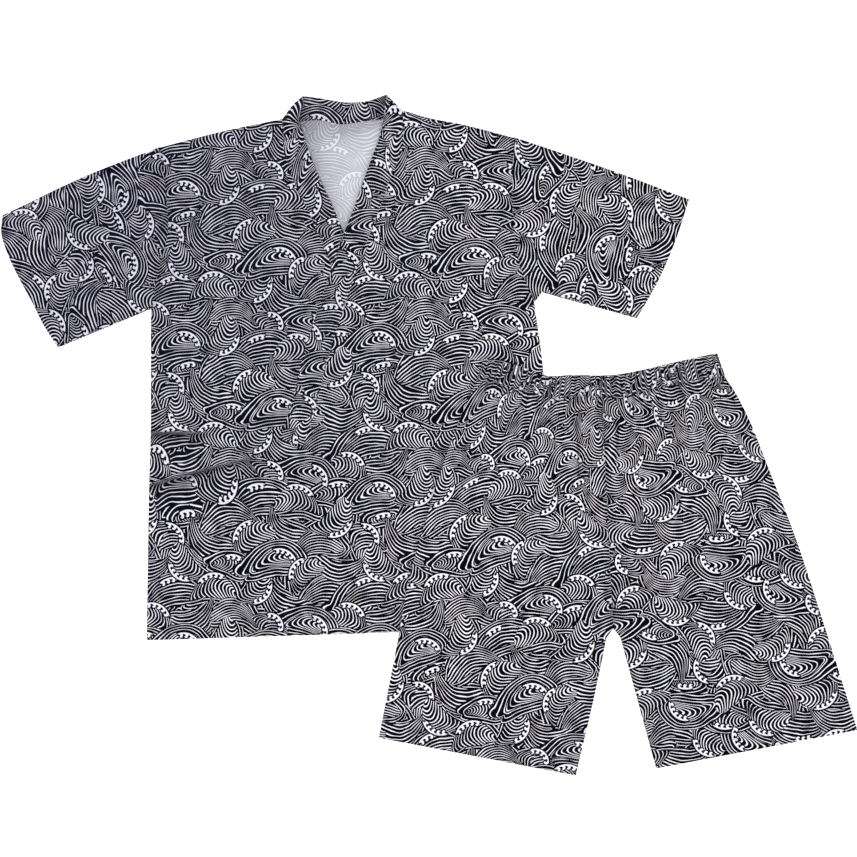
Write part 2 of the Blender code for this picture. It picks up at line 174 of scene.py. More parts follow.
def panelShell(plan, under, wall, cloth, printUp=True, doubled=False):
    # upper(u, v) and lower(u, v) one wall apart, and round their border a middle line that stands out by the
    # roll; the print is on the upper side if printUp, and on both if doubled
    rows, cols = plan.shape[:2]
    count = rows * cols
    upper, lower = raised(plan, under + wall), raised(plan, under)
    number = np.arange(count).reshape(rows, cols)
    border = np.concatenate([number[:-1, 0], number[-1, :-1], number[:0:-1, -1], number[0, :0:-1]])
    edge = plan.reshape(-1, 2)[border]
    along = np.roll(edge, -1, axis=0) - np.roll(edge, 1, axis=0)
    out = np.stack([along[:, 1], -along[:, 0]], axis=1) / np.linalg.norm(along, axis=1)[:, None]
    middle = (upper.reshape(-1, 3)[border] + lower.reshape(-1, 3)[border]) / 2
    middle[:, :2] += out * cotton["edgeRoll"] * mm
    verts = np.concatenate([upper.reshape(-1, 3), lower.reshape(-1, 3), middle])
    top = gridQuads(rows, cols, 0)
    bottom = gridQuads(rows, cols, count)[:, ::-1]
    rim = 2 * count + np.arange(len(border))
    after, rimAfter = np.roll(border, -1), np.roll(rim, -1)
    upperRim = np.stack([border, rim, rimAfter, after], axis=1)
    lowerRim = np.stack([rim, border + count, after + count, rimAfter], axis=1)
    flat = cloth.reshape(-1, 2)
    onCloth = np.concatenate([flat, flat, flat[border]])
    quads = np.concatenate([top, bottom, upperRim, lowerRim])
    reverse = np.zeros(len(quads), bool)
    reverse[len(top):len(top) + len(bottom)] = printUp
    reverse[:len(top)] = not printUp
    reverse &= not doubled
    return verts, quads, onCloth[quads], reverse, np.arange(len(verts)) >= 2 * count


def tubeShell(plan, top, low, wall, cloth, mirrorLine):
    # front from one fold to the other, round the fold on a half circle, back again underneath, and round the
    # other fold; the inner tube is one wall inside, and both open ends have a rolled rim
    turnAt = np.radians([54.0, 18.0, -18.0, -54.0])[:, None]
    front, back = raised(plan, top), raised(plan, low)[::-1]
    frontIn, backIn = raised(plan, top - wall), raised(plan, low + wall)[::-1]

    def roundFold(edge, inner, start, end):
        out = plan[edge] - plan[inner]
        out /= np.linalg.norm(out, axis=1)[:, None]
        centre, half = (start + end) / 2, np.abs(start - end)[:, 2] / 2
        ring = np.repeat(centre[None], len(turnAt), axis=0)
        ring[..., :2] += np.cos(turnAt)[..., None] * half[:, None] * out
        ring[..., 2] += np.sin(turnAt) * half
        return ring

    outer = np.concatenate([front, roundFold(-1, -2, front[-1], back[0]), back,
                            roundFold(0, 1, front[0], back[-1])[::-1]])
    inner = np.concatenate([frontIn, roundFold(-1, -2, frontIn[-1], backIn[0]), backIn,
                            roundFold(0, 1, frontIn[0], backIn[-1])[::-1]])
    around, along = outer.shape[:2]
    count = around * along
    lineStart, lineEnd = np.array(mirrorLine, float)
    way = (lineEnd - lineStart) / np.linalg.norm(lineEnd - lineStart)
    off = cloth - lineStart
    mirrored = (lineStart + 2 * (off @ way)[..., None] * way - off)[::-1]
    steps = np.linspace(0.0, 1.0, len(turnAt) + 2)[1:, None, None]
    roundFirst = 4.0                  # mm of cloth round the first fold
    ahead = mirrored[-1] - mirrored[-2]
    past = mirrored[-1] + steps * roundFirst * ahead / np.linalg.norm(ahead, axis=1)[:, None]
    clothRing = np.concatenate([cloth, cloth[-1] + steps[:-1] * (mirrored[0] - cloth[-1]), mirrored, past])
    ends = []
    for end, nextIn in ((0, 1), (-1, -2)):
        middle = (outer[:, end] + inner[:, end]) / 2
        out = outer[:, end, :2] - outer[:, nextIn, :2]
        middle[:, :2] += cotton["edgeRoll"] * mm * out / np.linalg.norm(out, axis=1)[:, None]
        ends.append(middle)
    verts = np.concatenate([outer.reshape(-1, 3), inner.reshape(-1, 3)] + ends)
    outside = gridQuads(around, along, 0, closed=True)
    inside = gridQuads(around, along, count, closed=True)[:, ::-1]
    ring = np.arange(around)
    after = np.roll(ring, -1)
    first, last = 2 * count, 2 * count + around
    startRim = [np.stack([ring * along, first + ring, first + after, after * along], axis=1),
                np.stack([first + ring, count + ring * along, count + after * along, first + after], axis=1)]
    tip, tipAfter = ring * along + along - 1, after * along + along - 1
    endRim = [np.stack([tipAfter, last + after, last + ring, tip], axis=1),
              np.stack([last + after, count + tipAfter, count + tip, last + ring], axis=1)]
    i, j = np.meshgrid(ring, np.arange(along - 1), indexing="ij")
    onQuads = np.stack([clothRing[i, j], clothRing[i + 1, j], clothRing[i + 1, j + 1], clothRing[i, j + 1]],
                       axis=2).reshape(-1, 4, 2)
    a, b = clothRing[ring, 0], clothRing[ring + 1, 0]
    c, d = clothRing[ring + 1, -1], clothRing[ring, -1]
    onStart, onEnd = np.stack([a, a, b, b], axis=1), np.stack([c, c, d, d], axis=1)
    quads = np.concatenate([outside, inside] + startRim + endRim)
    corners = np.concatenate([onQuads, onQuads[:, ::-1], onStart, onStart, onEnd, onEnd])
    reverse = np.zeros(len(quads), bool)
    reverse[len(outside):2 * len(outside)] = True
    return verts, quads, corners, reverse, np.arange(len(verts)) >= 2 * count


# The print is drawn from a table. Waves lie one over the other, each a bent, tapered ellipse filled with bold
# lines, some with echo lines round them. Combs of foam lie over them all. Each face of the cloth is told
# which of them cross it, as attributes that the material turns into lines.
wavePrint = {
    "repeat": (280.0, 216.0),     # mm across and up the cloth
    "echoPitch": 4.2, "echoShare": 0.215,
    "outline": 0.45,              # dark edge inside each wave, mm
    "wobble": 0.55, "widthWander": 0.14,      # how far a line strays and swells, shares of its pitch
    "lean": 0.1,                  # a wave's lines are so much wider at its blunt end than in its middle
    "shapes": {    # x, y, turn, half axes, bend, taper, focus, rings, arcs, bars, white share, echo lines
        "crest": [(0, 0, -30, 37, 18.5, 0.95, 0.4, -1.2, 0, 6.8, 1.0, 0.265, 0)],
        "bowl": [(0, 0, -28, 37, 18.5, -0.95, 0.4, -1.25, 0, 6.8, -1.0, 0.265, 0)],
        "fan": [(0, 0, 20, 31, 15, 0.5, 0.4, 1.6, 0, 6.4, 0, 0.27, 2)],
        "hook": [(0, 0, -20, 33, 14, 0.75, 0.4, -0.66, 6.6, 0, 0, 0.3, 3)],
        "hill": [(0, 0, 24, 34, 14, -1.5, 0.45, 0, 0, 0, 3.2, 0.24, 0)],
        "vale": [(0, 0, 0, 44, 19, 1.5, 0.45, 0, 0, 0, 4.3, 0.24, 0)],
        "swell": [(0, 0, 0, 40, 13, 1.2, 0.3, 0, 0, 0, 2.9, 0.225, 3)],
        "roller": [(0, 0, 120, 30, 19, -0.8, 0.3, -0.9, 0, 6.0, -0.8, 0.27, 0),
                   (14, -5, -10, 22, 12, 0.8, 0.3, 0, 0, 0, 2.8, 0.235, 0)],
        "ripples": [(0, 0, 0, 26, 7, 0.3, 0, 2.2, 0, 6.0, 0, 0.22, 0)],
    },
    "foam": {                     # degrees round the outline from and to, side that curls, mm out
        "crest": (58, 122, -1, 0.3), "bowl": (236, 300, -1, 0.3), "roller": (234, 304, -1, 0.3),
        "hook": (95, 185, -1, -4.0), "fan": (68, 116, -1, 0.3), "swell": (74, 108, -1, 0.3),
        "ripples": (60, 118, -1, 0.3)},
    "waves": [                    # which, x, y, turn, size, mirrored; each lies over those before it
        ("vale", 134, 200, 6, 1.07, -1), ("swell", 190, 207, 17, 1.0, -1), ("crest", 249, 210, -24, 0.92, -1),
        ("hill", 73, 194, -7, 1.13, -1), ("vale", 2, 177, -10, 0.81, 1), ("bowl", 29, 212, 24, 0.92, -1),
        ("hill", 224, 169, 4, 1.12, 1), ("crest", 167, 167, 10, 0.89, 1), ("hook", 108, 160, -31, 0.99, -1),
        ("roller", 49, 157, 6, 0.85, 1), ("fan", 148, 130, 16, 1.02, -1), ("hook", 201, 132, -5, 1.01, -1),
        ("swell", 37, 121, 15, 1.1, -1), ("vale", 278, 98, 0, 1.02, 1), ("crest", 94, 120, 19, 0.94, 1),
        ("bowl", 261, 137, 19, 0.94, -1), ("hill", 72, 83, -16, 1.06, -1), ("ripples", 215, 97, 11, 0.78, 1),
        ("vale", 116, 57, 17, 0.9, -1), ("bowl", 142, 93, 9, 0.98, -1), ("hill", 242, 63, -14, 1.19, -1),
        ("roller", 182, 66, 5, 1.04, 1), ("crest", 24, 65, 13, 0.99, -1), ("fan", 276, 29, 6, 0.85, -1),
        ("hook", 58, 36, -6, 1.05, -1), ("hill", 157, 27, -19, 1.16, 1), ("crest", 101, 14, 20, 0.86, -1),
        ("bowl", 214, 29, -16, 0.93, 1)]
}
foam = {"stroke": 1.15, "disc": 3.15, "notch": 1.45, "pitch": 8.6, "offset": 3.2, "biteX": 2.2, "biteY": -0.2,
        "halo": 1.9}              # mm
waveParts = ("Place", "Size", "Form", "Lines", "Look")     # what a face is told of each wave that crosses it


def turned(degrees):
    a = np.radians(degrees)
    return np.array([[np.cos(a), -np.sin(a)], [np.sin(a), np.cos(a)]])


def fromOutline(x, y, wide, high, bend, taper):
    # with y' = (y + bend (x^2 - 0.35)) / (1 - taper x) and rho = |(x, y')|, which is 1 on the outline: the
    # distance is (rho - 1) rho over the gradient's length; bend and taper die out away from the wave
    fade = np.clip(1.8 - 0.65 * np.hypot(x, y), 0.0, 1.0)
    along = np.clip(x, -1.35, 1.35)
    narrow = np.maximum(1 - taper * along * fade, 0.35)
    across = (y + bend * fade * (along**2 - 0.35)) / narrow
    rho = np.hypot(x, across)
    slopeX = (x + across * (2 * bend * along + taper * across) * fade / narrow) / wide
    return (rho - 1) * rho / np.maximum(np.hypot(slopeX, across / (narrow * high)), 1e-4)


def placedWaves():
    # every wave of the repeat: its middle, the matrix that takes the cloth to its own frame, and its numbers
    waves = []
    for which, x, y, turn, size, mirrored in wavePrint["waves"]:
        place = turned(turn) @ np.diag([mirrored, 1.0])
        for dx, dy, own, wide, high, *numbers in wavePrint["shapes"][which]:
            centre = np.array([x, y]) + place @ [dx * size, dy * size]
            toFrame = np.linalg.inv(place @ turned(own))
            waves.append((centre, toFrame, wide * size, high * size, *numbers))
    return waves


def placedCombs():
    # a comb lies on the circle through three points of its wave's outline: the comb's own middle, the matrix
    # that turns the cloth so that this lies on +x, the circle's radius, the comb's half span and its side
    combs = []
    for which, x, y, turn, size, mirrored in wavePrint["waves"]:
        if which not in wavePrint["foam"]:
            continue
        start, end, side, out = wavePrint["foam"][which]
        own, wide, high, bend, taper = wavePrint["shapes"][which][0][2:7]
        a = np.radians([start, (start + end) / 2, end])
        across = np.sin(a) * np.maximum(1 - taper * np.cos(a), 0.35) - bend * (np.cos(a) ** 2 - 0.35)
        rim = np.stack([np.cos(a) * wide, across * high], axis=1) * size
        squares = (rim[1:] ** 2).sum(axis=1) - (rim[0] ** 2).sum()
        centre = np.linalg.solve(2 * (rim[1:] - rim[0]), squares)
        outward = np.sign((rim[1] - centre) @ rim[1])
        radius = np.linalg.norm(rim[0] - centre) + outward * out
        toCloth = turned(turn) @ np.diag([mirrored, 1.0]) @ turned(own)
        spokes = (rim - centre) @ toCloth.T
        angle = np.arctan2(spokes[:, 1], spokes[:, 0])
        span = np.abs((angle - angle[1] + np.pi) % (2 * np.pi) - np.pi).max()
        tip = np.array([x, y]) + toCloth @ centre + radius * np.array([np.cos(angle[1]), np.sin(angle[1])])
        combs.append((tip, turned(-np.degrees(angle[1])), radius, span, side * outward))
    return combs


def printPlaces(corners):
    # for each face: the wave on top at each of nine points of it, which leaves up to three waves, and the
    # first two combs that reach it; a face keeps its corners' places in each one's own frame, which is exact
    # in between too
    bare, none = -1000, -2000         # bare goes onto a wave's number where only its echoes show
    combReach = 9.0                   # mm of foam on either side of its circle
    faces = len(corners)
    repeat = np.array(wavePrint["repeat"])
    middle = corners.mean(axis=1)
    reach = np.linalg.norm(corners - middle[:, None], axis=2).max(axis=1)
    a, b = (part.ravel() for part in np.meshgrid([0.02, 0.5, 0.98], [0.02, 0.5, 0.98]))
    weights = np.stack([(1 - a) * (1 - b), a * (1 - b), a * b, (1 - a) * b], axis=1)
    spots = np.einsum("sc,fck->fsk", weights, corners - middle[:, None])

    def near(centre):
        step = middle - centre
        return step - repeat * np.round(step / repeat)

    waves = placedWaves()
    onTop = np.full((faces, 9), bare)
    nearest, echoing = np.full((faces, 9), 1e9), np.zeros((faces, 9), int)
    for k, (centre, toFrame, wide, high, bend, taper, *_, echoes) in enumerate(waves):
        step = near(centre)
        size = 1.7 * max(wide, high) + echoes * wavePrint["echoPitch"]
        hit = np.nonzero(np.hypot(*step.T) < size + reach + 20.0)[0]
        own = (spots[hit] + step[hit, None]) @ toFrame.T / [wide, high]
        away = fromOutline(own[..., 0], own[..., 1], wide, high, bend, taper)
        onTop[hit] = np.where(away < echoes * wavePrint["echoPitch"], k, onTop[hit])
        closer = away < nearest[hit]
        echoing[hit] = np.where(closer, k, echoing[hit])
        nearest[hit] = np.where(closer, away, nearest[hit])
    onTop = np.where(onTop < 0, echoing + bare, onTop)    # bare ground takes the nearest wave's echoes
    low, top = onTop.min(axis=1), onTop.max(axis=1)
    mid = np.where((onTop < top[:, None]) & (onTop > low[:, None]), onTop, none).max(axis=1)
    found = {}
    for layer, chosen, shown in (("Low", low, low > none), ("Mid", mid, mid > none), ("Top", top, top > low)):
        place = np.zeros((faces, 4, 3))
        numbers = np.ones((faces, 12))
        for k, (centre, toFrame, *own) in enumerate(waves):
            hit = np.nonzero((chosen % -bare == k) & shown)[0]
            step = near(centre)[hit]
            place[hit, :, :2] = (corners[hit] - middle[hit, None] + step[:, None]) @ toFrame.T / own[:2]
            place[hit, :, 2] = 1.0
            numbers[hit, :len(own)] = own
        found["wavePlace" + layer] = (place, "CORNER")
        for k, part in enumerate(waveParts[1:]):
            found[f"wave{part}{layer}"] = (numbers[:, 3 * k:3 * k + 3], "FACE")
    combPlace = np.zeros((2, faces, 4, 3))
    combPlace[..., 0] = 1000.0        # far off, where no comb reaches the face
    combPlace[..., 2] = 1.0
    combLook = np.ones((2, faces, 3))
    used = np.zeros(faces, int)
    for tip, toFrame, radius, span, side in placedCombs()[::-1]:
        step = near(tip)
        close = np.hypot(*step.T) < 1.05 * radius * min(span, 2.0) + combReach + reach
        hit = np.nonzero(close & (used < 2))[0]
        own = (corners[hit] - middle[hit, None] + step[hit, None]) @ toFrame.T + [radius, 0.0]
        turn = np.abs(np.arctan2(own[..., 1], own[..., 0])).min(axis=1)
        far = np.linalg.norm(own, axis=2)
        touch = ((turn < span + 0.35) & (far.max(axis=1) > radius - combReach)
                 & (far.min(axis=1) < radius + combReach))
        hit, own = hit[touch], own[touch]
        combPlace[used[hit], hit, :, :2] = own
        combPlace[used[hit], hit, :, 2] = radius
        combLook[used[hit], hit, 0], combLook[used[hit], hit, 1] = span, side
        used[hit] += 1
    for k, layer in enumerate(("Top", "Low")):
        found["foamPlace" + layer] = (combPlace[k], "CORNER")
        found["foamLook" + layer] = (combLook[k], "FACE")
    return found


def linear(hexColour):
    # an sRGB hex value as linear red, green, blue
    c = np.array([int(hexColour[k:k + 2], 16) for k in (1, 3, 5)]) / 255
    return tuple(np.where(c <= 0.04045, c / 12.92, ((c + 0.055) / 1.055) ** 2.4)) + (1.0,)


def addNode(tree, kind, settings=(), feeds=()):
    # one node: settings are its own properties by name, feeds are what goes into each socket, a value or
    # another socket
    node = tree.nodes.new(kind)
    for name, value in dict(settings).items():
        setattr(node, name, value)
    for socket, feed in dict(feeds).items():
        if isinstance(feed, bpy.types.NodeSocket):
            tree.links.new(feed, node.inputs[socket])
        else:
            node.inputs[socket].default_value = feed
    return node


def stepByStep(tree, known, steps):
    # a row of sums: each step names its result, the operation, and its numbers or earlier results
    for name, operation, *feeds in steps:
        values = {k: known[feed] if isinstance(feed, str) else feed for k, feed in enumerate(feeds)}
        known[name] = addNode(tree, "ShaderNodeMath", {"operation": operation}, values).outputs[0]
    return known


def newGroup(name, vectors, floats, results):
    # a group that takes vectors and floats and gives floats, each by its socket's name
    group = bpy.data.node_groups.new(name, "ShaderNodeTree")
    for sockets, way, kind in ((vectors, "INPUT", "NodeSocketVector"), (floats, "INPUT", "NodeSocketFloat"),
                               (results, "OUTPUT", "NodeSocketFloat")):
        for socket in sockets:
            group.interface.new_socket(socket, in_out=way, socket_type=kind)
    return group, addNode(group, "NodeGroupInput"), addNode(group, "NodeGroupOutput")


def waveGroup():
    # the same distance from the outline as in fromOutline; inside it, lines on the sum of rings (distance
    # from the focus as a share of the way to the rim), arcs (distance from the focus) and bars (y'), and
    # echo lines outside it
    group, given, out = newGroup("one wave", waveParts, ("Wobble", "Wander"), ("White", "Inside"))
    known = {"wobble": given.outputs["Wobble"], "wander": given.outputs["Wander"]}
    for socket, names in (("Place", ("x", "y", "shown")), ("Size", ("wide", "high", "bend")),
                          ("Form", ("taper", "focus", "rings")), ("Lines", ("arcs", "bars", "share")),
                          ("Look", ("echoes",))):
        parts = addNode(group, "ShaderNodeSeparateXYZ", {}, {0: given.outputs[socket]})
        known.update(zip(names, parts.outputs))
    stepByStep(group, known, [
        ("xx", "MULTIPLY", "x", "x"), ("farther", "MULTIPLY_ADD", "y", "y", "xx"), ("far", "SQRT", "farther"),
        ("falling", "MULTIPLY_ADD", "far", -0.65, 1.8), ("atMost", "MINIMUM", "falling", 1.0),
        ("fade", "MAXIMUM", "atMost", 0.0), ("notLeft", "MAXIMUM", "x", -1.35),
        ("along", "MINIMUM", "notLeft", 1.35), ("bow", "MULTIPLY_ADD", "along", "along", -0.35),
        ("bendHere", "MULTIPLY", "bend", "fade"), ("taperHere", "MULTIPLY", "taper", "fade"),
        ("bent", "MULTIPLY_ADD", "bendHere", "bow", "y"), ("thinner", "MULTIPLY", "taperHere", "along"),
        ("rest", "SUBTRACT", 1.0, "thinner"), ("narrow", "MAXIMUM", "rest", 0.35),
        ("v", "DIVIDE", "bent", "narrow"), ("vv", "MULTIPLY", "v", "v"), ("rhoSquare", "ADD", "xx", "vv"),
        ("rho", "SQRT", "rhoSquare"), ("bowSlope", "MULTIPLY", "bendHere", "along"),
        ("thinSlope", "MULTIPLY", "taperHere", "v"), ("slope", "MULTIPLY_ADD", "bowSlope", 2.0, "thinSlope"),
        ("vSlope", "MULTIPLY", "v", "slope"), ("vShare", "DIVIDE", "vSlope", "narrow"),
        ("xSum", "ADD", "x", "vShare"), ("gx", "DIVIDE", "xSum", "wide"),
        ("tall", "MULTIPLY", "narrow", "high"), ("gy", "DIVIDE", "v", "tall"),
        ("gxx", "MULTIPLY", "gx", "gx"), ("steep", "MULTIPLY_ADD", "gy", "gy", "gxx"),
        ("steepness", "SQRT", "steep"), ("gradient", "MAXIMUM", "steepness", 0.0001),
        ("past", "SUBTRACT", "rho", 1.0), ("pastRho", "MULTIPLY", "past", "rho"),
        ("away", "DIVIDE", "pastRho", "gradient"), ("w", "SUBTRACT", "x", "focus"),
        ("ww", "MULTIPLY", "w", "w"), ("ff", "MULTIPLY", "focus", "focus"), ("room", "SUBTRACT", 1.0, "ff"),
        ("k", "MAXIMUM", "room", 0.01), ("under", "MULTIPLY_ADD", "k", "vv", "ww"), ("root", "SQRT", "under"),
        ("both", "MULTIPLY_ADD", "focus", "w", "root"), ("toRim", "DIVIDE", "both", "k"),
        ("ring", "SUBTRACT", "toRim", 1.0), ("rr", "ADD", "ww", "vv"), ("r", "SQRT", "rr"),
        ("ringed", "MULTIPLY_ADD", "rings", "ring", "wobble"),
        ("arced", "MULTIPLY_ADD", "arcs", "r", "ringed"), ("barred", "MULTIPLY_ADD", "bars", "v", "arced"),
        ("phase", "MULTIPLY_ADD", "share", 0.5, "barred"), ("turn", "FRACT", "phase"),
        ("leaning", "MULTIPLY_ADD", "along", -wavePrint["lean"], "share"),
        ("width", "ADD", "leaning", "wander"), ("line", "LESS_THAN", "turn", "width"),
        ("clear", "LESS_THAN", "away", -wavePrint["outline"]), ("bold", "MULTIPLY", "line", "clear"),
        ("echo", "DIVIDE", "away", wavePrint["echoPitch"]),
        ("strayed", "MULTIPLY_ADD", "wobble", 0.6, "echo"), ("echoPhase", "SUBTRACT", "strayed", 0.35),
        ("echoTurn", "FRACT", "echoPhase"), ("echoWidth", "ADD", "wander", wavePrint["echoShare"]),
        ("fine", "LESS_THAN", "echoTurn", "echoWidth"), ("within", "LESS_THAN", "away", 0.0),
        ("outside", "SUBTRACT", 1.0, "within"), ("fineOutside", "MULTIPLY", "fine", "outside"),
        ("white", "MULTIPLY_ADD", "bold", "within", "fineOutside"),
        ("limit", "MULTIPLY", "echoes", wavePrint["echoPitch"]), ("reached", "LESS_THAN", "away", "limit"),
        ("inside", "MULTIPLY", "reached", "shown")])
    group.links.new(known["white"], out.inputs["White"])
    group.links.new(known["inside"], out.inputs["Inside"])
    return group


def foamGroup():
    # a stroke bent round its radius that thins to its ends, with a row of discs on one side, each bitten by a
    # dark notch
    group, given, out = newGroup("one comb of foam", ("Place", "Look"), (), ("White", "Inside"))
    known = {}
    for socket, names in (("Place", ("x", "y", "radius")), ("Look", ("span", "side"))):
        parts = addNode(group, "ShaderNodeSeparateXYZ", {}, {0: given.outputs[socket]})
        known.update(zip(names, parts.outputs))
    stepByStep(group, known, [
        ("xx", "MULTIPLY", "x", "x"), ("rr", "MULTIPLY_ADD", "y", "y", "xx"), ("r", "SQRT", "rr"),
        ("angle", "ARCTAN2", "y", "x"), ("t", "DIVIDE", "angle", "span"), ("tt", "MULTIPLY", "t", "t"),
        ("out", "SUBTRACT", "r", "radius"), ("v", "MULTIPLY", "out", "side"),
        ("u", "MULTIPLY", "angle", "radius"), ("left", "MULTIPLY_ADD", "tt", -0.8, 1.0),
        ("room", "MAXIMUM", "left", 0.0), ("taper", "SQRT", "room"),
        ("half", "MULTIPLY", "taper", foam["stroke"]), ("av", "ABSOLUTE", "v"),
        ("body", "LESS_THAN", "av", "half"), ("on", "LESS_THAN", "tt", 1.0),
        ("stroke", "MULTIPLY", "body", "on"), ("uStep", "DIVIDE", "u", foam["pitch"]),
        ("uWhole", "ROUND", "uStep"), ("uDisc", "MULTIPLY", "uWhole", foam["pitch"]),
        ("du", "SUBTRACT", "u", "uDisc"), ("dv", "SUBTRACT", "v", foam["offset"]),
        ("duu", "MULTIPLY", "du", "du"), ("dd", "MULTIPLY_ADD", "dv", "dv", "duu"),
        ("arc", "MULTIPLY", "span", "radius"), ("arcIn", "MULTIPLY", "arc", 0.96),
        ("uFar", "ABSOLUTE", "uDisc"), ("kept", "LESS_THAN", "uFar", "arcIn"),
        ("disc", "LESS_THAN", "dd", foam["disc"] ** 2), ("curl", "MULTIPLY", "disc", "kept"),
        ("nu", "SUBTRACT", "du", foam["biteX"]), ("nv", "SUBTRACT", "dv", foam["biteY"]),
        ("nuu", "MULTIPLY", "nu", "nu"), ("nn", "MULTIPLY_ADD", "nv", "nv", "nuu"),
        ("bite", "GREATER_THAN", "nn", foam["notch"] ** 2), ("either", "MAXIMUM", "stroke", "curl"),
        ("white", "MULTIPLY", "either", "bite"), ("wide", "LESS_THAN", "av", foam["stroke"] + foam["halo"]),
        ("onWide", "LESS_THAN", "tt", 1.08 ** 2), ("halo", "MULTIPLY", "wide", "onWide"),
        ("ring", "LESS_THAN", "dd", (foam["disc"] + foam["halo"]) ** 2),
        ("ringKept", "MULTIPLY", "ring", "kept"), ("inside", "MAXIMUM", "halo", "ringKept")])
    group.links.new(known["white"], out.inputs["White"])
    group.links.new(known["inside"], out.inputs["Inside"])
    return group


def printGroup():
    # the waves from the lowest up, then the foam
    group, _, out = newGroup("wave print", (), (), ("White", "Shade"))

    def stored(name):
        return addNode(group, "ShaderNodeAttribute", {"attribute_name": name}).outputs["Vector"]

    cloth = addNode(group, "ShaderNodeUVMap", {"uv_map": "cloth"}).outputs["UV"]
    hand = addNode(group, "ShaderNodeTexNoise", {"noise_dimensions": "2D"},      # a hand's wander over 26 mm
                   {"Vector": cloth, "Scale": 38.0, "Detail": 1.0, "Roughness": 0.5})
    press = addNode(group, "ShaderNodeTexNoise", {"noise_dimensions": "2D"},     # thick and thin over 14 mm
                    {"Vector": cloth, "Scale": 71.0, "Detail": 0.0})
    known = stepByStep(group, {"hand": hand.outputs[0], "press": press.outputs[0]}, [
        ("even", "SUBTRACT", "hand", 0.5), ("wobble", "MULTIPLY", "even", 2 * wavePrint["wobble"]),
        ("level", "SUBTRACT", "press", 0.5), ("wander", "MULTIPLY", "level", 2 * wavePrint["widthWander"])])
    wave, comb = waveGroup(), foamGroup()
    white = None
    for layer in ("Low", "Mid", "Top"):
        feeds = {part: stored(f"wave{part}{layer}") for part in waveParts}
        over = addNode(group, "ShaderNodeGroup", {"node_tree": wave},
                       {**feeds, "Wobble": known["wobble"], "Wander": known["wander"]})
        white = over.outputs["White"] if white is None else addNode(
            group, "ShaderNodeMix", {"data_type": "FLOAT"},
            {0: over.outputs["Inside"], 2: white, 3: over.outputs["White"]}).outputs[0]
    for layer in ("Low", "Top"):
        over = addNode(group, "ShaderNodeGroup", {"node_tree": comb},
                       {"Place": stored("foamPlace" + layer), "Look": stored("foamLook" + layer)})
        white = addNode(group, "ShaderNodeMix", {"data_type": "FLOAT"},
                        {0: over.outputs["Inside"], 2: white, 3: over.outputs["White"]}).outputs[0]
    fade = addNode(group, "ShaderNodeTexNoise", {"noise_dimensions": "2D"},      # washes over about 11 cm
                   {"Vector": cloth, "Scale": 9.0, "Detail": 3.0, "Roughness": 0.6})
    group.links.new(white, out.inputs["White"])
    group.links.new(fade.outputs[0], out.inputs["Shade"])
    return group


clothLook = {
    "thread": 0.9,           # mm; real threads are 0.3 mm apart, drawn coarser so that the weave shows at all
    "worn": 0.3, "wornTo": "#777988",     # how far the colours go to this along cut and turned edges
    "paintedShade": 0.7, "paintedShadeColour": "#0B0B16",     # and, as painted shade, to this in the bottom of gathers, beside folds and seams and under edges
    "washed": {"at": (-0.42, 0.33, 0.0), "far": 0.68},      # paler round this place, fading out over far, m
    "printed": {"white": "#FBFAFF", "whiteWashedAndShaded": "#D2D1E0", "dye": "#030310", "dyeWashedAndShaded": "#0F0F22"},
    # on the reverse, the second white and dye are painted shadow colours, used behind the neck
    "reverse": {"white": "#FCFDFF", "whiteWashedAndShaded": "#CBCDD8", "dye": "#DFE1E9", "dyeWashedAndShaded": "#868896"},
    "reverseCollarShadow": {"at": (-0.22, 0.47, 0.0), "far": 0.26},    # painted shadow of the collar: the reverse is darker round here, behind the neck
}


def weave(tree, strength):
    # plain weave: the product of two sine bands across and along the cloth, as bump alone
    cloth = addNode(tree, "ShaderNodeUVMap", {"uv_map": "cloth"}).outputs["UV"]
    parts = addNode(tree, "ShaderNodeSeparateXYZ", {}, {0: cloth})
    per = 2 * np.pi / (clothLook["thread"] * mm)
    known = stepByStep(tree, {"x": parts.outputs[0], "y": parts.outputs[1]}, [
        ("px", "MULTIPLY", "x", per), ("py", "MULTIPLY", "y", per), ("sx", "SINE", "px"),
        ("sy", "SINE", "py"), ("threads", "MULTIPLY", "sx", "sy")])
    slub = addNode(tree, "ShaderNodeTexNoise", {"noise_dimensions": "2D"},       # uneven yarn every 2 to 3 mm
                   {"Vector": cloth, "Scale": 420.0, "Detail": 2.0, "Roughness": 0.6})
    height = addNode(tree, "ShaderNodeMath", {"operation": "MULTIPLY_ADD"},
                     {0: slub.outputs[0], 1: 0.8, 2: known["threads"]})
    return addNode(tree, "ShaderNodeBump", {}, {"Strength": strength, "Distance": 0.0002,
                                                "Height": height.outputs[0]}).outputs[0]


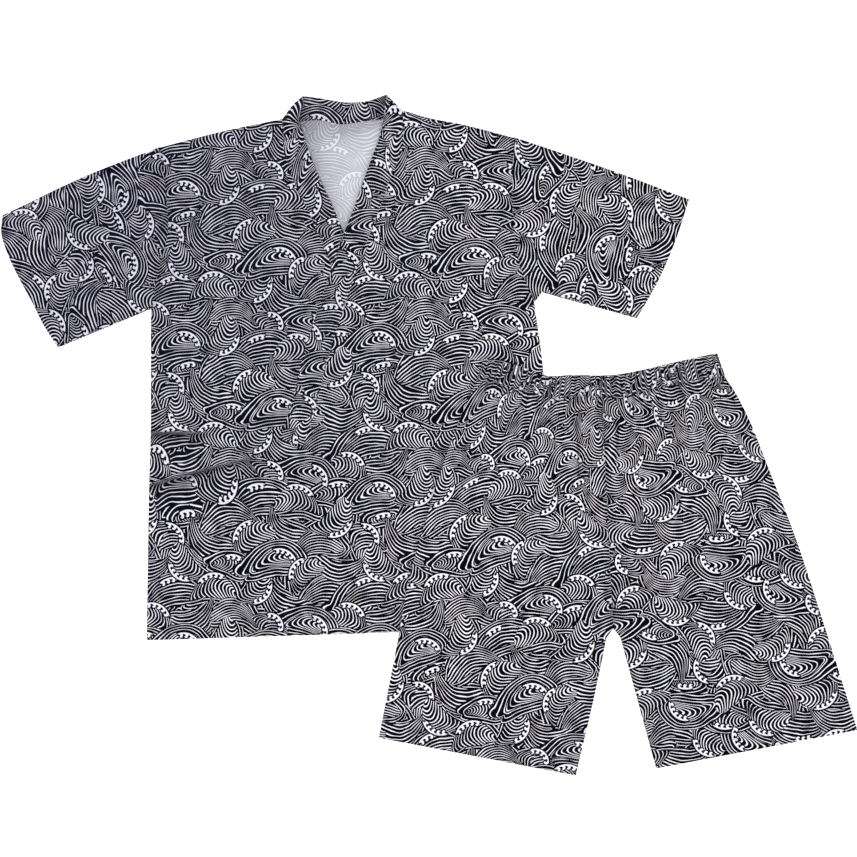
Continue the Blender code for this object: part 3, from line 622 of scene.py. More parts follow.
def clothMaterial(name, colours, washAndShadow, lines):
    material = bpy.data.materials.new(name)
    material.use_nodes = True
    tree = material.node_tree
    shader = tree.nodes["Principled BSDF"]
    shader.inputs["Roughness"].default_value = 0.86
    shader.inputs["Sheen Weight"].default_value = 0.015
    shader.inputs["Sheen Roughness"].default_value = 0.5
    shader.inputs["Specular IOR Level"].default_value = 0.05
    drawn = addNode(tree, "ShaderNodeGroup", {"node_tree": lines})
    place = addNode(tree, "ShaderNodeTexCoord").outputs["Object"]
    away = addNode(tree, "ShaderNodeVectorMath", {"operation": "DISTANCE"},
                   {0: place, 1: washAndShadow["at"]}).outputs["Value"]
    rim = addNode(tree, "ShaderNodeAttribute", {"attribute_name": "rim"}).outputs["Fac"]
    # painted shade: a point attribute takes the colour towards a near-black navy in folds, gathers and beside
    # seams
    paintedShade = addNode(tree, "ShaderNodeAttribute", {"attribute_name": "paintedShade"}).outputs["Fac"]
    known = stepByStep(tree, {"away": away, "shade": drawn.outputs["Shade"], "rim": rim, "paintedShade": paintedShade}, [
        ("near", "MULTIPLY_ADD", "away", -1 / washAndShadow["far"], 1.0),
        ("uneven", "MULTIPLY_ADD", "shade", 0.6, -0.3), ("sum", "ADD", "near", "uneven"),
        ("some", "MAXIMUM", "sum", 0.0), ("washAndShadow", "MINIMUM", "some", 1.0),
        ("worn", "MULTIPLY", "rim", clothLook["worn"]), ("paintedShadeAmount", "MULTIPLY", "paintedShade", clothLook["paintedShade"])])
    mixes = []
    for fresh, washed in (("dye", "dyeWashedAndShaded"), ("white", "whiteWashedAndShaded")):
        # the second colour of each pair: washed on the printed side, painted shadow on the reverse
        tints = {0: known["washAndShadow"], 6: linear(colours[fresh]), 7: linear(colours[washed])}
        mixes.append(addNode(tree, "ShaderNodeMix", {"data_type": "RGBA"}, tints).outputs[2])
    colour = addNode(tree, "ShaderNodeMix", {"data_type": "RGBA"},
                     {0: drawn.outputs["White"], 6: mixes[0], 7: mixes[1]}).outputs[2]
    edge = addNode(tree, "ShaderNodeMix", {"data_type": "RGBA"},
                   {0: known["worn"], 6: colour, 7: linear(clothLook["wornTo"])}).outputs[2]
    hollow = addNode(tree, "ShaderNodeMix", {"data_type": "RGBA"},
                     {0: known["paintedShadeAmount"], 6: edge, 7: linear(clothLook["paintedShadeColour"])}).outputs[2]
    tree.links.new(hollow, shader.inputs["Base Color"])
    tree.links.new(weave(tree, 0.35), shader.inputs["Normal"])
    return material


lines = printGroup()
# plain woven cotton, reactive dyed with the waves left white: matt, with a faint bloom at grazing light,
# softer and greyer where it has been washed most and along its edges, with painted shade in folds and gathers
printedCotton = clothMaterial("printed cotton, plain weave", clothLook["printed"], clothLook["washed"], lines)
# its other side, where the dye has hardly come through: pale, with the waves barely lighter than the rest
# with a painted shadow of the collar that darkens it behind the neck
cottonReverse = clothMaterial("printed cotton, reverse side", clothLook["reverse"],
                              clothLook["reverseCollarShadow"], lines)


thread = {
    "length": 2.5, "pitch": 3.8, "radius": 0.27,     # mm
    "sides": 6,                                      # few, as there are over a thousand stitches
    "navy": "#20213A", "paler": "#3A3C58",
}


def threadMaterial(name):
    # dyed colour over the thread's own length, and a bump that winds round it every 0.8 mm
    material = bpy.data.materials.new(name)
    material.use_nodes = True
    tree = material.node_tree
    shader = tree.nodes["Principled BSDF"]
    shader.inputs["Roughness"].default_value = 0.5
    shader.inputs["Sheen Weight"].default_value = 0.2
    place = addNode(tree, "ShaderNodeTexCoord").outputs["Object"]
    dyed = addNode(tree, "ShaderNodeTexNoise", {}, {"Vector": place, "Scale": 160.0}).outputs[0]  # every 6 mm
    tone = addNode(tree, "ShaderNodeMix", {"data_type": "RGBA"},
                   {0: dyed, 6: linear(thread["navy"]), 7: linear(thread["paler"])}).outputs[2]
    ply = addNode(tree, "ShaderNodeTexWave", {"wave_type": "BANDS", "bands_direction": "DIAGONAL"},
                  {"Vector": place, "Scale": 400.0})
    bump = addNode(tree, "ShaderNodeBump", {},
                   {"Strength": 0.4, "Distance": 0.0001, "Height": ply.outputs[1]})
    tree.links.new(tone, shader.inputs["Base Color"])
    tree.links.new(bump.outputs[0], shader.inputs["Normal"])
    return material


# spun polyester sewing thread in navy: a slight gloss that sets the stitches off from the matt cloth
sewingThread = threadMaterial("sewing thread, navy")
print("materials made")


def insetRow(points, distance):
    # lines points[i] run inwards from an edge; each is followed until it is the distance away from that edge
    step = np.linalg.norm(np.diff(points, axis=1), axis=2)
    run = np.concatenate([np.zeros((len(points), 1)), np.cumsum(step, axis=1)], axis=1)
    last = np.clip((run <= distance * mm).sum(axis=1) - 1, 0, points.shape[1] - 2)
    line = np.arange(len(points))
    share = ((distance * mm - run[line, last]) / step[line, last])[:, None]
    return points[line, last] * (1 - share) + points[line, last + 1] * share


def addStitches(piece, rows):
    # stitches one pitch apart along each row, a third sunk: rings round the line from a stitch's start to its
    # end, ring(k, a) = middle + along(k) * way + radius(k) * (cos a * side + sin a * up)
    starts, ends = [], []
    for row in rows:
        run = np.concatenate([[0.0], np.cumsum(np.linalg.norm(np.diff(row, axis=0), axis=1))])
        count = int(run[-1] / (thread["pitch"] * mm))
        at = (np.arange(count) + 0.5) * run[-1] / count
        for found, shift in ((starts, -0.5), (ends, 0.5)):
            here = at + shift * thread["length"] * mm
            found.append(np.stack([np.interp(here, run, row[:, k]) for k in range(3)], axis=1))
    starts, ends = np.concatenate(starts), np.concatenate(ends)
    way = ends - starts
    half = np.linalg.norm(way, axis=1)[:, None] / 2
    way /= 2 * half
    side = np.cross(way, [0.0, 0.0, 1.0])
    side /= np.linalg.norm(side, axis=1)[:, None]
    up = np.cross(side, way)
    middle = (starts + ends) / 2 + up * thread["radius"] * mm / 3
    turn = 2 * np.pi * np.arange(thread["sides"]) / thread["sides"]
    circle = np.cos(turn)[:, None] * side[:, None] + np.sin(turn)[:, None] * up[:, None]
    circle = circle * thread["radius"] * mm
    ringPlaces = ((-1, 0.35), (-0.82, 1), (0.82, 1), (1, 0.35))     # shares of half the length and the radius
    rings = np.stack([(middle + along * half * way)[:, None] + thick * circle for along, thick in ringPlaces],
                     axis=1)
    count, sides = len(middle), thread["sides"]
    number = np.arange(count * len(ringPlaces) * sides).reshape(count, len(ringPlaces), sides)
    after = np.roll(number, -1, axis=2)
    quads = np.stack([number[:, :-1], number[:, 1:], after[:, 1:], after[:, :-1]], axis=-1).reshape(-1, 4)
    caps = np.concatenate([number[:, 0], number[:, -1, ::-1]])
    mesh = bpy.data.meshes.new(piece + "Stitches")
    mesh.from_pydata(rings.reshape(-1, 3).tolist(), [], quads.tolist() + caps.tolist())
    mesh.polygons.foreach_set("use_smooth", np.ones(len(mesh.polygons), bool))
    mesh.materials.append(sewingThread)
    stitches = bpy.data.objects.new(piece + "Stitches", mesh)
    bpy.context.scene.collection.objects.link(stitches)
    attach(stitches, "root")
    return stitches


def addPiece(name, shell, sheet, paintedShade=None, seams=()):
    # puts the worked-out mesh, its cloth map and its print places into an object that stands for its CAD
    # node; painted shade: how dark each point of the piece's own plan is painted, in folds and by seams
    verts, quads, corners, reverse, rim = shell
    mesh = bpy.data.meshes.new(name)
    mesh.vertices.add(len(verts))
    mesh.vertices.foreach_set("co", verts.ravel())
    mesh.loops.add(4 * len(quads))
    mesh.loops.foreach_set("vertex_index", quads.ravel().astype(np.int32))
    mesh.polygons.add(len(quads))
    mesh.polygons.foreach_set("loop_start", np.arange(0, 4 * len(quads), 4, dtype=np.int32))
    mesh.materials.append(printedCotton)
    mesh.materials.append(cottonReverse)
    mesh.polygons.foreach_set("material_index", reverse.astype(np.int32))
    mesh.polygons.foreach_set("use_smooth", np.ones(len(quads), bool))
    mesh.update(calc_edges=True)
    mesh.uv_layers.new(name="cloth").data.foreach_set("uv", (corners * mm).ravel())
    for attribute, (values, domain) in printPlaces(corners).items():
        stored = mesh.attributes.new(attribute, "FLOAT_VECTOR", domain)
        stored.data.foreach_set("vector", np.ascontiguousarray(values, np.float32).ravel())
    hollow = np.zeros(len(verts), np.float32)
    if paintedShade is not None:
        hollow[:paintedShade.size] = np.clip(paintedShade, 0.0, 1.0).ravel()
    mesh.attributes.new("rim", "FLOAT", "POINT").data.foreach_set("value", rim.astype(np.float32))
    mesh.attributes.new("paintedShade", "FLOAT", "POINT").data.foreach_set("value", hollow)
    mesh.validate()
    piece = bpy.data.objects.new(name, mesh)
    bpy.context.scene.collection.objects.link(piece)
    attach(piece, "root")
    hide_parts(sheet["node"])
    sewn = [addStitches(name, seams)] if seams else []


def printed(plan, turn, shift):
    # the cloth's own place of each point: the plan turned and moved under the print
    return plan @ turned(turn) + np.array(shift, float)


top = {
    "hemRight": (-404, -294), "hemLeft": (173, -276),
    "sideRightLow": (-401, -90), "sideRightWaist": (-398, 12),
    "underarmRight": (-398, 182), "tipRight": (-386, 412), "neckRight": (-210, 453),
    "underarmLeft": (151, 192), "tipLeft": (123, 426), "neckLeft": (-35, 465),
    "bandWidth": 34.5, "bandPull": 0.72,
    "rightEdge": [(-87, -284), (-85, -90), (-83, -16)],
    "leftEdge": [(-167, -284), (-179, -184), (-185, -118), (-186, -65), (-180, -16)],
    "rightSeam": [(-83, -16), (-93, 57), (-108, 122), (-124, 190), (-137, 237), (-150, 268), (-169, 313),
                  (-195, 368), (-208, 409), (-210, 453)],
    "leftSeam": [(-180, -16), (-163, 34), (-149, 92), (-126, 168), (-113, 207), (-97, 256), (-85, 286),
                 (-73, 317), (-57, 362), (-42, 399), (-36, 431), (-35, 465)],
    "overLimit": [(-87, -284), (-81, -70), (-50, -18)],
    "collarSeam": [(-186, 451), (-156, 452), (-121, 446), (-103, 449), (-64, 454)],
    "collarTop": [(-180, 486), (-156, 483), (-111, 477), (-84, 480), (-60, 488)],
    "rightTurn": [(-210, 453), (-192, 476), (-180, 486)], "leftTurn": [(-35, 465), (-47, 475), (-60, 488)],
    "rightFreeTop": (-184, 443), "leftFreeTop": (-66, 445),
    "backNeckRight": (-206, 453), "backNeckLeft": (-40, 462),
    "cuffRight": [(-532, 127), (-552, 158), (-569, 192), (-588, 227), (-604, 261), (-613, 293), (-611, 314)],
    "cuffLeft": [(299, 169), (313, 192), (332, 227), (347, 261), (360, 296), (373, 337)],
    "lowLeft": [(152.5, 192.6), (162, 206), (299, 169)],
    # tucks: start and end of the crest, cloth hidden on its right, and how far on the print lies true again
    "tucks": [((-410, -73), (-222, -22), 17, 70), ((-406, 5), (-300, 4), 13, 60)],
    "knot": ((-228, 17), 15),     # painted shade in a small puckered patch beside the end of the band: middle and radius
    "hemTurn": (20, 0.55),        # width of the turned hems, and how much they stand out
    "freeStitch": 7,              # from the left front's free edge to its row of stitches
    "bandStitch": {"seam": 2, "free": 2.5, "neck": 2.5},     # from each edge of the band to its row
    # folds: start and end of the crest, half width, height, and how much steeper the side on its right is
    "rightFolds": [((-410, -73), (-222, -22), 16, 6.4, 0.6), ((-406, 5), (-300, 4), 14, 5.2, 0.55),
                   ((-248, 32), (-212, 4), 6, 2.6, 0.3), ((-246, 8), (-214, 30), 6, 2.2, 0.3),
                   ((-236, -6), (-224, 38), 5.5, 1.8, 0.2),
                   ((-400, 150), (-300, 110), 17, 2.6, 0.2), ((-370, 300), (-290, 215), 18, 2.6, 0.2),
                   ((-330, -120), (-250, -210), 20, 2.2, 0.0), ((-250, 20), (-215, -60), 11, 2.6, 0.2)],
    "leftFolds": [((118, 300), (40, 222), 18, 2.6, 0.2), ((150, 165), (60, 150), 16, 2.2, 0.2),
                  ((-120, -60), (-20, -120), 20, 2.0, 0.0), ((-20, 60), (30, -10), 18, 1.8, 0.0)],
    "sleeveRightFolds": [((-420, 200), (-560, 215), 15, 3.2, 0.2), ((-400, 300), (-520, 300), 17, 2.6, 0.2),
                         ((-470, 360), (-560, 270), 16, 2.0, 0.0)],
    "sleeveLeftFolds": [((165, 225), (310, 235), 15, 3.2, 0.2), ((150, 330), (280, 320), 17, 2.6, 0.2),
                        ((220, 370), (310, 280), 16, 2.0, 0.0)],
}
sideRight = [top["hemRight"], top["sideRightLow"], top["sideRightWaist"], top["underarmRight"]]
sideLeft = [top["hemLeft"], (169, -93), (165, 86), (160, 129), top["underarmLeft"]]
shoulderRight = [top["tipRight"], (-297, 435), top["neckRight"]]
shoulderLeft = [top["neckLeft"], (3, 454), (45, 446), top["tipLeft"]]
armholeRight = [top["underarmRight"], (-386, 240), (-374, 290), (-376, 343), top["tipRight"]]
armholeLeft = [top["underarmLeft"], (133, 237), (123, 287), (120, 359), top["tipLeft"]]
sleeveTopRight = [top["cuffRight"][-1], (-498, 368), top["tipRight"]]
sleeveTopLeft = [top["tipLeft"], (195, 402), (281, 372), top["cuffLeft"][-1]]
sleeveLowRight = [top["cuffRight"][0], top["underarmRight"]]
pressedLines = [sideRight, sideLeft, shoulderRight, shoulderLeft, sleeveTopRight, sleeveTopLeft,
                sleeveLowRight, top["lowLeft"]]
sewnLines = [armholeRight, armholeLeft]


def freeEdge(seam, side, end):
    # the band's width away from its seam, drawn in to the neck over its last part
    edge = beside(seam, side * top["bandWidth"])
    pull = ease(top["bandPull"], 1.0, np.linspace(0.0, 1.0, len(edge)))[:, None]
    return edge * (1 - pull) + np.array(end, float) * pull


bandCells, neckCells = 96, 34
seamRight, seamLeft = curveThrough(top["rightSeam"], bandCells), curveThrough(top["leftSeam"], bandCells)
freeRight, freeLeft = freeEdge(seamRight, -1, top["rightFreeTop"]), freeEdge(seamLeft, 1, top["leftFreeTop"])


def overCover(plan):
    # 1 where the left front lies over the right one, down to 0 well past the right one's edge
    limit = np.concatenate([np.array(top["overLimit"], float), freeRight])
    return 1 - ease(12, 45, plan[..., 0] - np.interp(plan[..., 1], limit[:, 1], limit[:, 0]))


def shortsCover(plan):
    # 1 where the shorts lie on the top, down to 0 well outside its side and hem
    side = np.array(sideLeft, float)
    pastSide = plan[..., 0] - np.interp(plan[..., 1], side[:, 1], side[:, 0])
    hem = np.array([top["hemRight"], top["hemLeft"]], float)
    pastHem = np.interp(plan[..., 0], hem[:, 0], hem[:, 1]) - plan[..., 1]
    return 1 - ease(12, 54, np.hypot(np.maximum(pastSide, 0.0), np.maximum(pastHem, 0.0)))


def besideTuck(plan, tuck):
    # how far each point lies to the right of the crest, the way that this is, and a fade towards both ends
    start, end = np.array(tuck[0], float), np.array(tuck[1], float)
    run = end - start
    right = np.array([run[1], -run[0]]) / np.linalg.norm(run)
    share = (plan - start) @ run / (run @ run)
    return (plan - start) @ right, right, ease(-0.12, 0.2, share) * ease(-0.08, 0.5, 1 - share)


def tucked(plan):
    # the cloth's place moves on by the hidden width just past a crest, and comes back to the plan's later on
    onCloth = plan.copy()
    for tuck in top["tucks"]:
        off, right, fade = besideTuck(plan, tuck)
        onCloth += (tuck[2] * fade * ease(-1, 4, off) * (1 - ease(10, tuck[3], off)))[..., None] * right
    return onCloth


def tuckShade(plan):
    # painted shade where a tuck goes under, a soft band that dies out away from the crest, and in the
    # puckered patch
    shade = np.zeros(plan.shape[:-1])
    for tuck in top["tucks"]:
        off, _, fade = besideTuck(plan, tuck)
        shade += fade * (0.75 * np.exp(-((off - 4) / 4) ** 2) + 0.35 * np.exp(-((off - 10) / 12) ** 2))
    middle, radius = top["knot"]
    apart = np.linalg.norm(plan - middle, axis=-1) / radius
    return shade + np.exp(-apart ** 2) * (0.35 + 0.35 * np.sin(plan[..., 0] * 0.9 + plan[..., 1] * 0.5))


def seamShade(plan):
    # painted shade along the pucker of the sewn armholes
    return softLine(plan, sewnLines, 5, 0.42)


def hemLift(plan, line):
    # the turned hem stands out by its second layer, with a soft step at its stitches
    wide, high = top["hemTurn"]
    return high * (1 - ease(wide - 1, wide + 3, awayFrom(plan, [line])))


def topLift(plan, seams):
    # the ripple, dying out where front meets back, less the pucker of the sewn seams
    flatten = 1 - softLine(plan, pressedLines, 16)
    sink = softLine(plan, sewnLines + seams, 6)
    return flatten * (ripple(plan, cotton["ripple"], 3) + cotton["pucker"] * (1 - sink))


def makeTopBack():
    sideCells, armCells, cornerCells, shoulderCells = 92, 46, 4, 35
    hem = curveThrough([top["hemRight"], top["hemLeft"]], neckCells + 2 * (cornerCells + shoulderCells))
    right = endToEnd(curveThrough([top["hemRight"], top["sideRightWaist"], top["underarmRight"]], sideCells),
                     curveThrough(armholeRight, armCells))
    left = endToEnd(curveThrough(sideLeft, sideCells), curveThrough(armholeLeft, armCells))
    neck = curveThrough(top["collarSeam"], neckCells) - (0.0, cotton["seam"])
    upper = endToEnd(curveThrough([top["tipRight"], (-297, 435), top["backNeckRight"]], shoulderCells),
                     curveThrough([top["backNeckRight"], neck[0]], cornerCells), neck,
                     curveThrough([neck[-1], top["backNeckLeft"]], cornerCells),
                     curveThrough([top["backNeckLeft"], (3, 453), (45, 446), top["tipLeft"]], shoulderCells))
    plan = between(hem, upper, right, left)
    onCloth = printed(plan * [-1, 1], 0, (60, 30))
    # painted shadow of the band: the opening is darker close to it, most of all under the collar and along
    # its right
    shade = (softLine(plan, [neck], 15, 0.38) + softLine(plan, [freeRight], 17, 0.3)
             + softLine(plan, [freeLeft], 8, 0.22))
    addPiece("topBack", panelShell(plan, 0.0, cotton["wall"], onCloth, printUp=False),
             {"node": "top_back", "held": "laid", "on": []}, paintedShade=shade)


def makeTopFronts():
    rows, across = (44, 46, 30, 50), 66
    rightSide = endToEnd(curveThrough([top["hemRight"], top["sideRightLow"]], rows[0]),
                         curveThrough([top["sideRightLow"], top["sideRightWaist"]], rows[1]),
                         curveThrough([top["sideRightWaist"], top["underarmRight"]], rows[2]),
                         curveThrough(armholeRight, rows[3]))
    edge = top["rightEdge"]
    rightEdge = endToEnd(curveThrough(edge[:2], rows[0]), curveThrough(edge[1:], rows[1]),
                         curveThrough(top["rightSeam"], rows[2] + rows[3]))
    plan = between(curveThrough([top["hemRight"], edge[0]], across), curveThrough(shoulderRight, across),
                   rightSide, rightEdge)
    onCloth = printed(tucked(plan), 0, (0, 0))
    hem = [top["hemRight"], top["hemLeft"]]
    lift = topLift(plan, [top["rightSeam"]]) + foldRise(plan, top["rightFolds"]) + hemLift(plan, hem)
    surface = raised(plan, frontBase + lift + cotton["wall"])
    addPiece("topFrontRight", panelShell(plan, frontBase + lift, cotton["wall"], onCloth),
             {"node": "top_front_right", "held": "laid", "on": ["topBack"]},
             paintedShade=tuckShade(plan) + seamShade(plan), seams=[insetRow(surface, top["hemTurn"][0])])

    longCells, shortCells, across = 92, 50, 70
    leftSide = endToEnd(curveThrough(sideLeft, longCells), curveThrough(armholeLeft, shortCells))
    leftEdge = endToEnd(curveThrough(top["leftEdge"], shortCells), curveThrough(top["leftSeam"], longCells))
    plan = between(curveThrough([top["leftEdge"][0], top["hemLeft"]], across),
                   curveThrough(shoulderLeft, across), leftEdge, leftSide)
    onCloth = printed(plan, 0, (0, 0))
    lift = (topLift(plan, [top["leftSeam"]]) + foldRise(plan, top["leftFolds"]) * (1 - underShorts(plan))
            + hemLift(plan, hem) * (1 - underShorts(plan)) + overStep * overCover(plan))
    # painted shade by the armhole, and painted shadow beside the shorts' waist and side where they lie on the
    # front
    paintedShade = seamShade(plan) + softLine(plan, [shorts["waist"], shorts["rightOutseam"]], 5, 0.45)
    surface = raised(plan, frontBase + lift + cotton["wall"])
    addPiece("topFrontLeft", panelShell(plan, frontBase + lift, cotton["wall"], onCloth),
             {"node": "top_front_left", "held": "laid", "on": ["topBack", "topFrontRight"]}, paintedShade=paintedShade,
             seams=[insetRow(surface, top["hemTurn"][0]),
                    insetRow(surface.transpose(1, 0, 2), top["freeStitch"])[:shortCells]])


def underShorts(plan):
    # 1 below the waist of the shorts, where the top has to lie flat
    waistAt, outseamAt = 110, -90
    return ease(-10, 20, waistAt - plan[..., 1]) * ease(outseamAt, outseamAt + 30, plan[..., 0])


bandShares = np.linspace(0.0, 1.0, 9)      # where the rows of a band's grid lie across it


def makeCollar():
    turnCells, stitch = 12, top["bandStitch"]
    seam = endToEnd(seamRight, curveThrough(top["rightTurn"], turnCells))
    free = endToEnd(freeRight, curveThrough([freeRight[-1], top["collarSeam"][0]], turnCells))
    seam = beside(seam, -cotton["seam"])
    plan = acrossBand(seam, free)
    onCloth = alongBand(plan, (30, 60))
    lift = topLift(plan, [top["rightSeam"]])
    surface = raised(plan, frontBase + lift + cotton["band"]).transpose(1, 0, 2)
    addPiece("collarRight", panelShell(plan, frontBase + lift, cotton["band"], onCloth, doubled=True),
             {"node": "top_collar_right", "held": "laid", "on": ["topBack"]},
             seams=[insetRow(surface, stitch["seam"]), insetRow(surface[:, ::-1], stitch["free"])])

    seam = endToEnd(seamLeft, curveThrough(top["leftTurn"], turnCells))
    free = endToEnd(freeLeft, curveThrough([freeLeft[-1], top["collarSeam"][-1]], turnCells))
    seam = beside(seam, cotton["seam"])
    plan = acrossBand(free, seam)
    onCloth = alongBand(plan, (170, 20))
    lift = topLift(plan, [top["leftSeam"]]) + overStep * overCover(plan)
    surface = raised(plan, frontBase + lift + cotton["band"]).transpose(1, 0, 2)
    addPiece("collarLeft", panelShell(plan, frontBase + lift, cotton["band"], onCloth, doubled=True),
             {"node": "top_collar_left", "held": "laid", "on": ["topBack", "topFrontRight"]},
             seams=[insetRow(surface, stitch["free"]), insetRow(surface[:, ::-1], stitch["seam"])])

    low, high = curveThrough(top["collarSeam"], neckCells), curveThrough(top["collarTop"], neckCells)
    plan = withLips(np.stack([low * (1 - s) + high * s for s in bandShares], axis=1))
    inset = np.linspace(2, -2, plan.shape[0]) * cotton["seam"]
    plan[..., 0] += inset[:, None]
    fromEnd = np.minimum(plan[..., 0] - top["collarSeam"][0][0], top["collarSeam"][-1][0] - plan[..., 0])
    onCloth = printed(plan, 0, (90, 120))
    under = frontBase * (1 - ease(0.0, 26.0, fromEnd))       # its ends lie as high as the fronts
    # painted shade on the back band, darker towards both ends where it meets the front bands
    addPiece("collarBack", panelShell(plan, under, cotton["band"], onCloth, doubled=True),
             {"node": "top_collar_back", "held": "laid", "on": ["topBack"]},
             paintedShade=0.75 * np.exp(-(fromEnd / 17) ** 2),
             seams=[insetRow(raised(plan, under + cotton["band"]), stitch["neck"])])


def acrossBand(first, last):
    # plan(u, v) = straight across from one long edge of the band to the other
    return withLips(np.stack([first * (1 - s) + last * s for s in bandShares]))


def alongBand(plan, shift):
    # the band was cut straight: across it by its width, along it by the length of its middle
    middle = plan[plan.shape[0] // 2]
    run = np.concatenate([[0.0], np.cumsum(np.linalg.norm(np.diff(middle, axis=0), axis=1))])
    across = np.linalg.norm(plan - plan[:1], axis=2)
    return np.stack([across + shift[0], run[None] + 0 * across + shift[1]], axis=-1)


def makeSleeves():
    cuffCells, armCells = 52, 34
    armhole = curveThrough(armholeRight, cuffCells) - (cotton["seam"], 0.0)
    plan = between(curveThrough([top["cuffRight"][0], armhole[0]], armCells),
                   curveThrough(sleeveTopRight[:-1] + [armhole[-1]], armCells),
                   curveThrough(top["cuffRight"], cuffCells), armhole)
    ring = plan[::-1].transpose(1, 0, 2)
    onCloth = printed(ring, -68, (40, 10))        # the print's upright runs up the arm, as the cloth was cut
    upper = (frontBase + cotton["wall"] + topLift(ring, []) + foldRise(ring, top["sleeveRightFolds"])
             + hemLift(ring, top["cuffRight"]))
    shell = tubeShell(ring, upper, 0.0, cotton["wall"], onCloth, onCloth[-1][[0, -1]])
    addPiece("sleeveRight", shell, {"node": "top_sleeve_right", "held": "laid", "on": []},
             paintedShade=seamShade(ring), seams=[insetRow(raised(ring, upper)[:, ::-1], top["hemTurn"][0])])

    cornerCells, armCells = 4, 36
    armhole = curveThrough(armholeLeft, cuffCells) + (cotton["seam"], 0.0)
    armhole[0] = top["lowLeft"][0]
    low = endToEnd(curveThrough(top["lowLeft"][:2], cornerCells),
                   curveThrough(top["lowLeft"][1:], armCells - cornerCells))
    plan = between(low, curveThrough([armhole[-1]] + sleeveTopLeft[1:], armCells), armhole,
                   curveThrough(top["cuffLeft"], cuffCells))
    ring = plan[::-1].transpose(1, 0, 2)
    onCloth = printed(ring, 69, (150, 60))
    upper = (frontBase + cotton["wall"] + topLift(ring, []) + foldRise(ring, top["sleeveLeftFolds"])
             + hemLift(ring, top["cuffLeft"]))
    shell = tubeShell(ring, upper, 0.0, cotton["wall"], onCloth, onCloth[-1][[0, -1]])
    addPiece("sleeveLeft", shell, {"node": "top_sleeve_left", "held": "laid", "on": []},
             paintedShade=seamShade(ring), seams=[insetRow(raised(ring, upper), top["hemTurn"][0])])


shorts = {
    "waist": [(81, 108), (108, 103), (131, 98), (149, 91), (167, 85), (210, 86), (248, 85), (275, 87),
              (302, 92), (340, 101), (376, 109), (413, 117)],
    "casingSeam": [(70, 78), (100, 72), (129, 65), (167, 55), (210, 55), (249, 55), (278, 57), (308, 62),
                   (345, 70), (386, 79), (424, 85)],
    "rightOutseam": [(-71, -434), (-41, -280), (-28, -208), (-8, -138), (19, -50), (47, 27), (70, 78)],
    "rightInseam": [(211, -488), (238, -373), (255, -291)],
    "leftInseam": [(327, -478), (276, -291)],
    "leftOutseam": [(615, -423), (567, -271), (523, -138), (488, -49), (456, 30), (435, 69), (424, 85)],
    "centreSeam": [(265, -277), (255, -79), (249, 55)],
    "gathers": 48, "gatherRise": 1.5, "gatherFade": 62.0,
    "gatherFullness": 1.5,    # cloth across the casing for its width on the figure
    "waistWidth": 348,        # of the casing, along its seam
    "casingRise": 3.1,        # height of its ridges
    "casingDepth": 31.0,      # of its cloth, from seam to fold
    "casingStitch": (1.6, 4),        # its rows of stitches, from the seam and from the fold
    "casingHides": 0.95,      # share of the cloth's unevenness that the casing's gathers take up
    "hiddenFade": 22, "shadeFade": 26,      # how far below the casing the print and the shade even out
    "ripple": 1.5,
    "flares": 4, "flareRise": 3.6, "flareFrom": 0.42, "flareTo": 0.92, "flareShown": 0.55,
    "folds": [((214, 40), (203, -165), 12, 3.0, 0.15), ((275, 40), (288, -170), 11, 3.0, -0.15),
              ((334, 60), (356, -165), 13, 2.6, 0.2), ((140, 50), (96, -130), 14, 2.4, 0.15),
              ((398, 70), (446, -110), 14, 2.4, -0.15), ((150, -300), (230, -250), 16, 1.8, 0.1),
              ((420, -330), (330, -270), 16, 1.8, -0.1)],
    # sharp creases that run down from the casing: start, end, half width, share of full depth, and lean
    "creases": [((211, 50), (217, -108), 3.2, 1.0, 0.3), ((273, 52), (270, -62), 3.2, 1.0, -0.3),
                ((335, 62), (330, -14), 2.8, 0.9, 0.2), ((176, 50), (170, -30), 2.6, 0.6, 0.2),
                ((120, 62), (112, -22), 2.6, 0.7, -0.2), ((381, 72), (390, -20), 2.8, 0.7, 0.2)],
    "creaseDepth": 1.7, "lowest": -0.35,      # how deep they are, and how far down the cloth may go
}


def gatherPhase(share):
    # one turn for each gather over the share of the waist, 0 to 1, at a pace that drifts
    drift = 0.42 * np.sin(2 * np.pi * 5.3 * share) + 0.3 * np.sin(2 * np.pi * 11.7 * share + 1.0)
    return 2 * np.pi * shorts["gathers"] * share + drift


def gatherWave(share, height):
    # a cosine of the phase, 0 between two gathers, with a depth that wanders, so that no two are alike
    depth = 0.62 + 0.22 * np.sin(2 * np.pi * 8.1 * share + 2.0) + 0.16 * np.sin(2 * np.pi * 17.3 * share)
    return height * depth * (0.5 - 0.5 * np.cos(gatherPhase(share)))


def gatherHides(share):
    # how far the cloth runs ahead of its even share: the sine of the phase over the phase of the whole waist
    return np.sin(gatherPhase(share)) / (2 * np.pi * shorts["gathers"])


def shortsLift(plan):
    # height of the cloth under the shorts, let down to the floor outside the top
    return (shortsBase + ripple(plan, cotton["ripple"], 3)) * shortsCover(plan)


